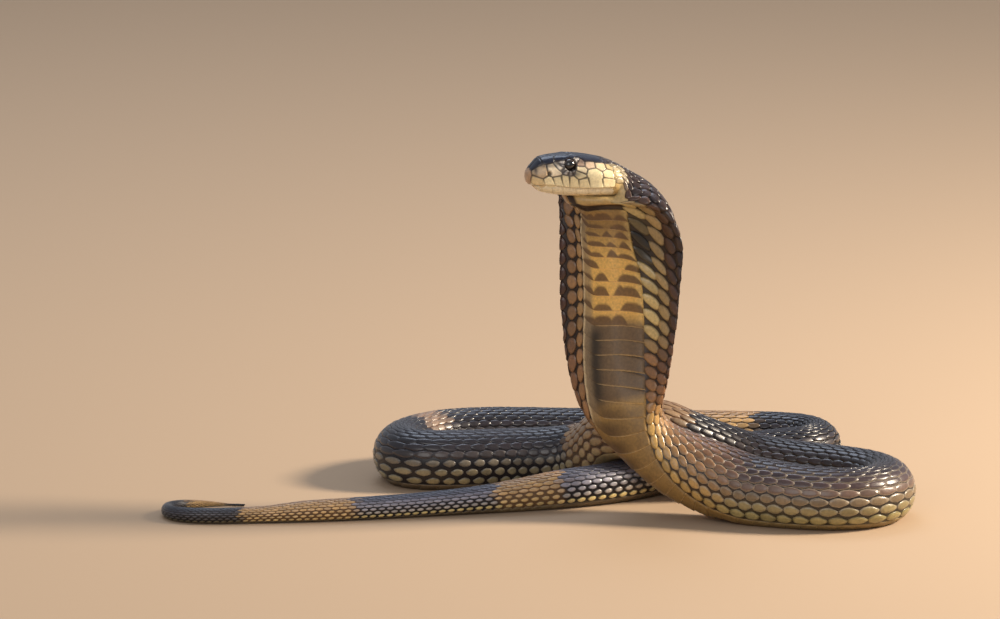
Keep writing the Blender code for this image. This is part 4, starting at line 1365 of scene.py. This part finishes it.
def eye_centre(side):
    """Centre of an eye, side being 1 for the snake's right."""
    ahead, up, right = head_axes()
    return SNOUT - EYE_PLACE[0] * ahead + side * EYE_PLACE[1] * right + EYE_PLACE[2] * up


def skin_shares(sides, mouth_right, mouth_left, total, belly):
    """Arc places round a head ring, closer together towards the mouth."""
    share_over_mouth = 5.0 / 18.0
    top = int(sides * share_over_mouth)
    low = sides // 2 - top

    def eased_in(count):
        t = np.arange(count) / count
        return 0.75 * t ** 1.9 + 0.25 * t

    def eased_out(count):
        t = np.arange(count) / count
        return 0.75 * (1.0 - (1.0 - t) ** 1.9) + 0.25 * t

    return np.concatenate([
        mouth_right * eased_out(top),
        mouth_right + (belly - mouth_right) * eased_in(low),
        belly + (mouth_left - belly) * eased_out(low),
        mouth_left + (total - mouth_left) * eased_in(top),
    ])


def head_grid(backs, sides):
    """Rings of the head before its relief, with points along the mouth's corners."""
    highest = 70
    lowest = HALF_TURN - 12
    rings = head_rings(backs, TURNS)
    _, height = head_offsets(backs, TURNS)
    mouths = eased(MOUTH_LINE, backs)[:, 0]
    grid = np.empty((len(backs), sides, 3))
    for i, ring in enumerate(rings):
        arc = arcs(ring)
        below = height[i, :HALF_TURN + 1] <= mouths[i]
        lip = int(np.clip(np.argmax(below), highest, lowest)) if below.any() else lowest
        wanted = skin_shares(sides, arc[lip], arc[2 * HALF_TURN - lip], arc[-1], arc[HALF_TURN])
        grid[i] = resampled(ring, arc, wanted)
    return grid


def outward_round(rings):
    """Unit normals of closed rings of points, outside being the left of along x across."""
    wrapped = np.concatenate([rings[:, -1:], rings, rings[:, :1]], axis=1)
    normal = np.cross(np.gradient(wrapped, axis=0), np.gradient(wrapped, axis=1))[:, 1:-1]
    return normal / np.maximum(np.linalg.norm(normal, axis=2), 1e-9)[:, :, None]


def lane_at(s, arc, wanted):
    """Lane of each arc place, below 0 on the belly."""
    middle = ROWS / 2.0
    lanes = np.linspace(0.0, ROWS, 77)
    places = row_arcs(s, arc, lanes)
    left = lanes <= middle
    right = lanes >= middle
    on_left = np.interp(wanted, places[left], lanes[left], left=-1.0, right=middle)
    on_right = np.interp(
        wanted, places[right][::-1], lanes[right][::-1], left=middle, right=-1.0)
    return np.where(wanted > arc[HALF_TURN], on_left, on_right)


class COBRA_OT_skin(bpy.types.Operator):
    """Make the skin in one piece from snout to tail, with the head's plates"""

    bl_idname = "cobra.skin"
    bl_label = "Skin"

    def execute(self, context):
        settings = context.scene.cobra_skin
        coarse = settings.sides
        fine = 4 * coarse
        head, head_tone, wet = self.head(fine, settings)
        body, body_tone = self.body(coarse, fine, settings)
        points, faces = self.sew(head, body, fine, coarse)
        dry = np.zeros(len(body_tone))
        snout_wet = [1.0]
        mesh = make_mesh("skin", (points - CENTRE) * MM, faces, {
            "tint": rgba(np.vstack([head_tone, body_tone, head_tone[:1], body_tone[-1:]])),
            "shield": np.concatenate([wet, dry, snout_wet, dry[-1:]]),
        })
        mesh.shade_smooth()
        look = reptile_material("Cobra Skin", roughness=0.38, mottle=0.30, bump=0.18, coat="shield")
        mesh.materials.append(look)
        skin = add_object("skin", mesh)
        finish_piece(skin)
        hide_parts(*FLESH)
        return {"FINISHED"}

    def head(self, fine, settings):
        """Rings of the head with its relief, their colours and how wet they look."""
        backs = np.concatenate([
            np.array((0.0, 0.12, 0.28, 0.48, 0.72, 1.0)),
            np.arange(1.25, 12.0, 0.22),
            np.arange(12.0, 22.0, 0.19),
            np.arange(22.0, HEAD_BACK - 0.2, 0.27),
            [HEAD_BACK],
        ])
        return self.relief(head_grid(backs, fine), settings)

    def body(self, coarse, fine, settings):
        """Rings from the nape to the tail tip, sunk under the scales, and their colours."""
        stops = np.concatenate([
            np.arange(-NAPE + 0.6, 20.0, 0.9), np.arange(20.0, TAIL_TIP, settings.step / MM), [TAIL_TIP],
        ])
        body = np.empty((len(stops), coarse, 3))
        lanes = np.empty((len(stops), coarse))
        start = head_grid(np.array([HEAD_BACK]), fine)[0, ::4]
        run = arcs(np.vstack([start, start[:1]]))
        uneven = run[:-1] / run[-1]
        even = np.arange(coarse) / coarse
        for i, ring in enumerate(surface_rings(stops, TURNS)):
            arc = arcs(ring)
            settled = smooth(-8.0, 12.0, stops[i])
            wanted = (uneven * (1.0 - settled) + even * settled) * arc[-1]
            body[i] = resampled(ring, arc, wanted)
            lanes[i] = lane_at(stops[i], arc, wanted)
        body = body - outward_round(body) * (SKIN_SUNK * skin_depth(stops))[:, None, None]
        along = np.repeat(stops, coarse)
        lanes = lanes.ravel()
        tone = skin_tones(along, np.clip(lanes, 0.0, ROWS))
        cream_lanes = 0.01 + 2.2 * (1.0 - smooth(-1.5, 1.5, along))
        throat = (1.0 - smooth(9.0, 12.0, along)) * (1.0 - smooth(0.0, 0.5, lanes - cream_lanes))
        # Cream below the jaw, then painted shade in the crease over the first plate
        return body, mix(tone, 0.8 * throat_and_crease_shade_tones(along), throat)

    def relief(self, head, settings):
        """Grooves, mouth, brow, nostrils and eye openings on the head."""
        ahead, up, right = head_axes()
        flat = head.reshape(-1, 3) - SNOUT
        local = np.stack([-flat @ ahead, flat @ right, flat @ up], axis=1)
        back, aside, level = local.T

        # Grooves between the plates
        gap, tone, names = head_plates(local)
        fade = 1.0 - smooth(HEAD_BACK - 2.5, HEAD_BACK - 0.3, back)
        groove = np.exp(-(gap / 0.34) ** 2)
        depth = -settings.suture_depth / MM * groove * fade + 0.06 * (1.0 - groove) * fade

        # Mouth, with painted shade along its line that is darkest at the front, and dark seams that fade
        # towards it
        above = level - eased(MOUTH_LINE, back)[:, 0]
        lips = np.exp(-(above / 0.26) ** 2) * between(-0.3, 0.6, MOUTH_LENGTH - 2.0, MOUTH_LENGTH, back)
        depth -= settings.mouth_depth / MM * lips
        bold = np.where(above > 0.0, 0.20 + 0.80 * smooth(0.4, 3.2, above), 0.15)
        bold = bold * (1.0 - 0.45 * smooth(29.0, 32.0, back) * (above < 7.0))
        seam = np.clip(1.35 * bold * np.exp(-(gap / (0.20 + 0.36 * bold)) ** 2), 0.0, 1.0)
        dark = np.maximum(seam, lips * (0.35 + 0.60 * (1.0 - smooth(2.0, 6.5, back))))
        for place, height, half_length, half_height, strength in SMUDGES:
            away = ((back - place) / half_length) ** 2 + ((level - height) / half_height) ** 2
            tone = mix(tone, SMUDGE_GREY, strength * np.exp(-away) * (np.abs(aside) > 3.0))

        # Eye openings with their rings and brows, and nostrils with painted shade in their holes
        for side in (1.0, -1.0):
            on_side = aside * side > 2.0
            eye_back = back - EYE_PLACE[0]
            eye_up = level - EYE_PLACE[2]
            distance = np.sqrt(eye_back ** 2 + (0.35 * (aside - side * EYE_PLACE[1])) ** 2 + eye_up ** 2)
            opening = on_side * (1.0 - smooth(*EYE_OPENING, distance))
            ring = on_side * np.exp(-((distance - EYE_RING) / 0.42) ** 2)
            brow = on_side * np.exp(-((eye_up - BROW_UP) / 0.8) ** 2) * np.exp(-(eye_back / 4.5) ** 2)
            depth += 0.22 * ring + 0.45 * brow - EYE_SOCKET_DEPTH * opening
            dark = np.maximum(dark, np.exp(-((distance - 2.35) / 0.25) ** 2) * on_side)
            tone = mix(tone, SOCKET_GREY, opening)
            away = np.hypot(back - NOSTRIL_PLACE[0], 0.75 * (level - NOSTRIL_PLACE[1]))
            hole = on_side * (1.0 - smooth(*NOSTRIL_RADII, away))
            lift = on_side * np.exp(-((away - NOSTRIL_RIM) / 0.4) ** 2)
            depth += 0.10 * lift - NOSTRIL_DEPTH * hole
            # Painted shade in the nostril's hole
            dark = np.maximum(dark, hole)
        moved = head + outward_round(head) * depth.reshape(head.shape[:2])[:, :, None]
        # Dark seams, with painted shade in the mouth line and nostrils
        tone = mix(tone, SEAM_BROWN_AND_PAINTED_SHADE, 0.85 * np.clip(dark, 0.0, 1.0))
        crown = np.array([name.split(" ")[0] in CROWN_PLATES for name in names])
        return moved, tone, np.where(crown, CROWN_WET, CHEEK_WET)

    def sew(self, head, body, fine, coarse):
        """One closed mesh: fine head rings, coarse body rings and both ends."""

        def bands(rings, first, around):
            for i in range(rings - 1):
                a = first + i * around + np.arange(around)
                b = a + around
                yield from np.stack([a, b, np.roll(b, -1), np.roll(a, -1)], axis=1).tolist()

        start = len(head) * fine
        faces = list(bands(len(head), 0, fine))
        last = start - fine
        ratio = fine // coarse
        for j in range(coarse):
            here = start + j
            after = start + (j + 1) % coarse
            for k in range(ratio):
                a = last + (ratio * j + k) % fine
                b = last + (ratio * j + k + 1) % fine
                faces.append((a, here, b))
            faces.append((last + (ratio * j + ratio) % fine, here, after))
        faces += bands(len(body), start, coarse)
        ahead, _, _ = head_axes()
        snout = head[0].mean(axis=0) + 0.25 * ahead
        end = body[-1].mean(axis=0)
        points = np.vstack([head.reshape(-1, 3), body.reshape(-1, 3), snout, end])
        tip = len(points) - 2
        faces += [(tip, j, (j + 1) % fine) for j in range(fine)]
        final = tip - coarse
        faces += [(tip + 1, final + (j + 1) % coarse, final + j) for j in range(coarse)]
        return points, faces


class COBRA_OT_back_scales(bpy.types.Operator):
    """Lay the scales of the hood, flanks and back in rows over the skin"""

    bl_idname = "cobra.back_scales"
    bl_label = "Back Scales"

    def execute(self, context):
        settings = context.scene.cobra_coat
        back, _ = sheets()
        plain = scale_shape(
            "back_scale", (-1.0, -0.84, -0.45, 0.0, 0.45, 0.84, 1.0),
            (-1.0, -0.82, -0.35, 0.35, 0.82, 1.0), square=False, head_height=0.28)
        leaf = scale_shape(
            "hood_scale", (-1.0, -0.82, -0.40, 0.0, 0.40, 0.82, 1.0),
            (-1.0, -0.80, -0.30, 0.30, 0.80, 1.0), square=False, head_height=0.36,
            corner=1.9, lined=True)
        look = reptile_material(
            "Cobra Scales", settings.roughness, mottle=0.34, bump=0.22, coat=0.34, rims=True)
        s, lane, size, lean, chance = coat_roots()
        tone, rim = coat_tones(s, lane, chance)
        root = unwrap(s, lane / ROWS * 0.8)
        for name, shape, low, high, slot in (
            ("hood_scales", leaf, COAT_START, 105.0, "hood_skin"),
            ("front_scales", plain, 105.0, 400.0, "dark_skin"),
            ("middle_scales", plain, 400.0, 700.0, "dark_skin"),
            ("rear_scales", plain, 700.0, 1047.0, "dark_skin"),
        ):
            part = (s >= low) & (s < high)
            points = np.stack([s[part], lane[part], np.zeros(part.sum())], axis=1)
            values = scale_axes(size[part], lean[part])
            values.update(tint=rgba(tone[part]), rim=rgba(rim[part]), root=root[part])
            piece = lay_scales(name, points, values, shape, back, settings.scale_thickness, look)
            drop_helpers(piece.data)
            finish_piece(piece)
        for helper in (plain, leaf):
            bpy.data.objects.remove(helper)
        return {"FINISHED"}


class COBRA_OT_belly_plates(bpy.types.Operator):
    """Lay the broad plates of throat, belly and tail across the skin"""

    bl_idname = "cobra.belly_plates"
    bl_label = "Belly Plates"

    def execute(self, context):
        look = reptile_material("Belly Plates", roughness=0.52, mottle=0.42, bump=0.25, coat=0.08)
        broad = scale_shape(
            "broad_plate",
            (-1.0, -0.8, -0.5, -0.3, -0.1, 0.1, 0.25, 0.4, 0.55, 0.7, 0.8, 0.86, 0.92, 1.0),
            np.concatenate([[-1.0, -0.97], np.linspace(-0.93, 0.93, 71), [0.97, 1.0]]),
            square=True, head_height=0.15)
        plain = scale_shape(
            "plain_plate", (-1.0, -0.6, 0.2, 0.84, 1.0), (-1.0, -0.94, -0.6, -0.2, 0.2, 0.6, 0.94, 1.0),
            square=True, head_height=0.15)
        narrow = scale_shape(
            "tail_plate", (-1.0, -0.5, 0.3, 0.84, 1.0), (-1.0, -0.8, 0.0, 0.8, 1.0),
            square=False, head_height=0.2)
        edges = list(FIRST_EDGES)
        while edges[-1] < VENT - 2.0:
            share = 1.0 if edges[-1] < HIND_SCUTES_FROM else HIND_SCUTE_SHARE
            edges.append(edges[-1] + SCUTE_LENGTH * share)
        edges = np.array(edges)
        throat = self.plates(edges, 0.0, THROAT_PLATES_END)
        belly = self.plates(edges, THROAT_PLATES_END, VENT)
        self.lay(context, "throat_plates", *throat, broad, look, "hood_skin")
        self.lay(context, "belly_plates", *belly, plain, look, "dark_skin")
        self.lay(context, "tail_plates", *self.under_tail(), narrow, look, "dark_skin")
        for helper in (broad, plain, narrow):
            bpy.data.objects.remove(helper)
        return {"FINISHED"}

    def plates(self, edges, low, high):
        """Roots and values of the plates that start from low to high."""
        number = np.nonzero((edges[:-1] >= low) & (edges[:-1] < high))[0]
        s = edges[number]
        step = edges[number + 1] - s
        middle = s + 0.5 * step
        zero = np.zeros(len(s))
        lift = np.where(s < 140.0, 1.0, 0.55)
        values = scale_axes(np.stack([step * 1.22, zero + 2.0, lift], axis=1), zero)
        values["span"][:, 0] = PLATE_SLOPE * between(60.0, 86.0, 112.0, 150.0, s)
        values.update(root=unwrap(middle, zero + 0.9), number=number)
        return np.stack([middle, zero, zero], axis=1), values

    def under_tail(self):
        """Roots and values of two rows of small plates from the vent to the tail tip."""
        roots = []
        for side in (-0.5, 0.5):
            for stop in pitch_stops(VENT + 2.0, TAIL_TIP - 1.0, 0.25 + 0.5 * side):
                roots.append((stop, side, 0.0))
        s, side, zero = np.array(roots).T
        pitch = pitch_at(s)
        size = np.stack([pitch * 1.5, zero + 1.15, np.clip(pitch / 9.0, 0.15, 0.5)], axis=1)
        values = scale_axes(size, zero)
        values.update(root=unwrap(s, 0.9 + 0.04 * side), number=zero)
        return np.array(roots), values

    def lay(self, context, name, roots, values, shape, look, slot):
        """One piece of plates over the belly, coloured point by point."""
        _, belly = sheets()
        thickness = context.scene.cobra_coat.plate_thickness
        piece = lay_scales(name, roots, values, shape, belly, thickness, look)
        mesh = piece.data
        flat = read_vectors(mesh, "flat")
        local = read_vectors(mesh, "local")
        number = np.empty(len(mesh.vertices), np.float32)
        mesh.attributes["number"].data.foreach_get("value", number)
        tone = belly_tones(flat[:, 0], flat[:, 1], local[:, 0], np.round(number).astype(int))
        layer = mesh.attributes.new("tint", "FLOAT_COLOR", "POINT")
        layer.data.foreach_set("color", rgba(tone).astype(np.float32).ravel())
        drop_helpers(mesh)
        finish_piece(piece)


class COBRA_OT_eyes(bpy.types.Operator):
    """Set a wet black eye in each side of the head"""

    bl_idname = "cobra.eyes"
    bl_label = "Eyes"

    def execute(self, context):
        settings = context.scene.cobra_eye
        look = eye_material(tuple(settings.iris))
        ahead, up, right = head_axes()
        for name, node, side in (("right_eyeball", "eye_right", 1.0), ("left_eyeball", "eye_left", -1.0)):
            axis = side * right + 0.10 * ahead + 0.05 * up
            axis /= np.linalg.norm(axis)
            offsets, pupil, faces = self.ball(axis, up)
            points = eye_centre(side) + offsets * settings.radius / MM
            mesh = make_mesh(name, (points - CENTRE) * MM, faces, {"pupil": pupil})
            mesh.shade_smooth()
            mesh.materials.append(look)
            eyeball = add_object(name, mesh)
            finish_piece(eyeball)
            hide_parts(node)
        return {"FINISHED"}

    def ball(self, axis, up):
        """Points of a unit ball round an axis, their share of pupil, and its faces."""
        rows, columns = 28, 48
        first = np.cross(axis, up)
        first /= np.linalg.norm(first)
        second = np.cross(axis, first)
        points = [axis]
        pupil = [1.0]
        for i in range(1, rows):
            tip = np.pi * i / rows
            for k in range(columns):
                a = 2.0 * np.pi * k / columns
                points.append(np.cos(tip) * axis + np.sin(tip) * (np.cos(a) * first + np.sin(a) * second))
                pupil.append(float(smooth(0.86, 0.70, tip)))
        points.append(-axis)
        pupil.append(0.0)
        faces = []
        last = len(points) - 1
        for k in range(columns):
            n = (k + 1) % columns
            faces.append((0, 1 + n, 1 + k))
            for i in range(rows - 2):
                a = 1 + i * columns
                faces.append((a + k, a + n, a + columns + n, a + columns + k))
            a = 1 + (rows - 2) * columns
            faces.append((a + k, a + n, last))
        return np.array(points), np.array(pupil), faces


def floor_material(colour):
    """Plain matt floor."""
    made, tree, shader = new_material("Plain Floor")
    plug(tree, shader, {"Base Color": (*colour, 1.0), "Roughness": 0.9, "Specular IOR Level": 0.1})
    return made


def aim_turn(aim):
    """Turn of a lamp or camera that looks along aim."""
    return Vector(aim).to_track_quat("-Z", "Y").to_euler()


def soft_light(name, place, size, power, colour):
    """A round lamp of a size in metres, aimed at the middle of the model."""
    data = bpy.data.lights.new(name, "AREA")
    data.shape = "DISK"
    data.size = size
    data.energy = power
    data.color = colour
    lamp = bpy.data.objects.new(name, data)
    bpy.context.scene.collection.objects.link(lamp)
    lamp.location = place
    lamp.rotation_euler = aim_turn(np.array((0.0, 0.0, 0.05)) - np.array(place))


class COBRA_OT_stage(bpy.types.Operator):
    """Set the floor, soft studio lights and the camera"""

    bl_idname = "cobra.stage"
    bl_label = "Stage"

    def execute(self, context):
        settings = context.scene.cobra_stage
        self.floor(tuple(settings.floor))
        world = bpy.data.worlds.new("Studio")
        world.use_nodes = True
        sky = world.node_tree.nodes["Background"]
        plug(world.node_tree, sky, {"Color": (0.80, 0.84, 0.92, 1.0), "Strength": 0.42})
        context.scene.world = world
        soft_light("key", (1.15, 0.0, 0.72), 0.28, settings.key, (1.0, 0.86, 0.68))
        soft_light("front_fill", (-0.5, -1.7, 0.9), 1.2, settings.fill, (1.0, 0.95, 0.9))
        soft_light("sky_fill", (-0.2, 0.9, 1.5), 1.0, settings.fill * 1.1, (0.72, 0.82, 1.0))
        self.camera(context.scene, settings.distance)
        context.scene.view_settings.view_transform = "Standard"
        return {"FINISHED"}

    def floor(self, colour):
        """A wide round floor just under the model."""
        turns = np.radians(np.arange(0.0, 360.0, 3.75))
        rim = np.stack([np.cos(turns), np.sin(turns), np.zeros(len(turns))], axis=1) * FLOOR_RADIUS
        rim[:, 2] = FLOOR_HEIGHT
        mesh = make_mesh("floor", rim, [range(len(rim))], {})
        mesh.materials.append(floor_material(colour))
        add_object("floor", mesh)

    def camera(self, scene, distance):
        """A camera in front of the model, looking down on it a little."""
        view = np.array((0.0, np.cos(CAMERA_TILT), -np.sin(CAMERA_TILT)))
        data = bpy.data.cameras.new("camera")
        data.sensor_width = 36.0
        data.lens = CAMERA_LENS
        data.clip_end = 100.0
        camera = bpy.data.objects.new("camera", data)
        scene.collection.objects.link(camera)
        camera.location = (CAMERA_AIM - CENTRE) * MM - view * distance
        camera.rotation_euler = aim_turn(view)
        scene.camera = camera


class COBRA_PT_panel(bpy.types.Panel):
    """Buttons for each piece of the cobra"""

    bl_idname = "COBRA_PT_panel"
    bl_label = "Reared Cobra"
    bl_space_type = "VIEW_3D"
    bl_region_type = "UI"
    bl_category = "Cobra"

    def draw(self, context):
        layout = self.layout
        for label, group, operator in (
            ("Skin", context.scene.cobra_skin, "cobra.skin"),
            ("Scales", context.scene.cobra_coat, "cobra.back_scales"),
            ("Eyes", context.scene.cobra_eye, "cobra.eyes"),
            ("Stage", context.scene.cobra_stage, "cobra.stage"),
        ):
            box = layout.box()
            box.label(text=label)
            for key in group.__annotations__:
                box.prop(group, key)
            box.operator(operator)
            if operator == "cobra.back_scales":
                box.operator("cobra.belly_plates")


SETTINGS = (
    ("cobra_skin", SkinSettings),
    ("cobra_coat", CoatSettings),
    ("cobra_eye", EyeSettings),
    ("cobra_stage", StageSettings),
)
CLASSES = (
    SkinSettings,
    CoatSettings,
    EyeSettings,
    StageSettings,
    COBRA_OT_skin,
    COBRA_OT_back_scales,
    COBRA_OT_belly_plates,
    COBRA_OT_eyes,
    COBRA_OT_stage,
    COBRA_PT_panel,
)


def register():
    """Adds the settings, the operators and the panel."""
    for cls in CLASSES:
        bpy.utils.register_class(cls)
    for name, group in SETTINGS:
        setattr(bpy.types.Scene, name, bpy.props.PointerProperty(type=group))


def unregister():
    """Takes the settings, the operators and the panel out again."""
    for name, _ in SETTINGS:
        delattr(bpy.types.Scene, name)
    for cls in reversed(CLASSES):
        bpy.utils.unregister_class(cls)


def main():
    """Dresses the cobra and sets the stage."""
    register()
    bpy.ops.cobra.skin()
    bpy.ops.cobra.back_scales()
    bpy.ops.cobra.belly_plates()
    for name in ("back_sheet", "belly_sheet"):
        bpy.data.objects.remove(bpy.data.objects[name])
    bpy.ops.cobra.eyes()
    bpy.ops.cobra.stage()


if __name__ == "__main__":
    main()
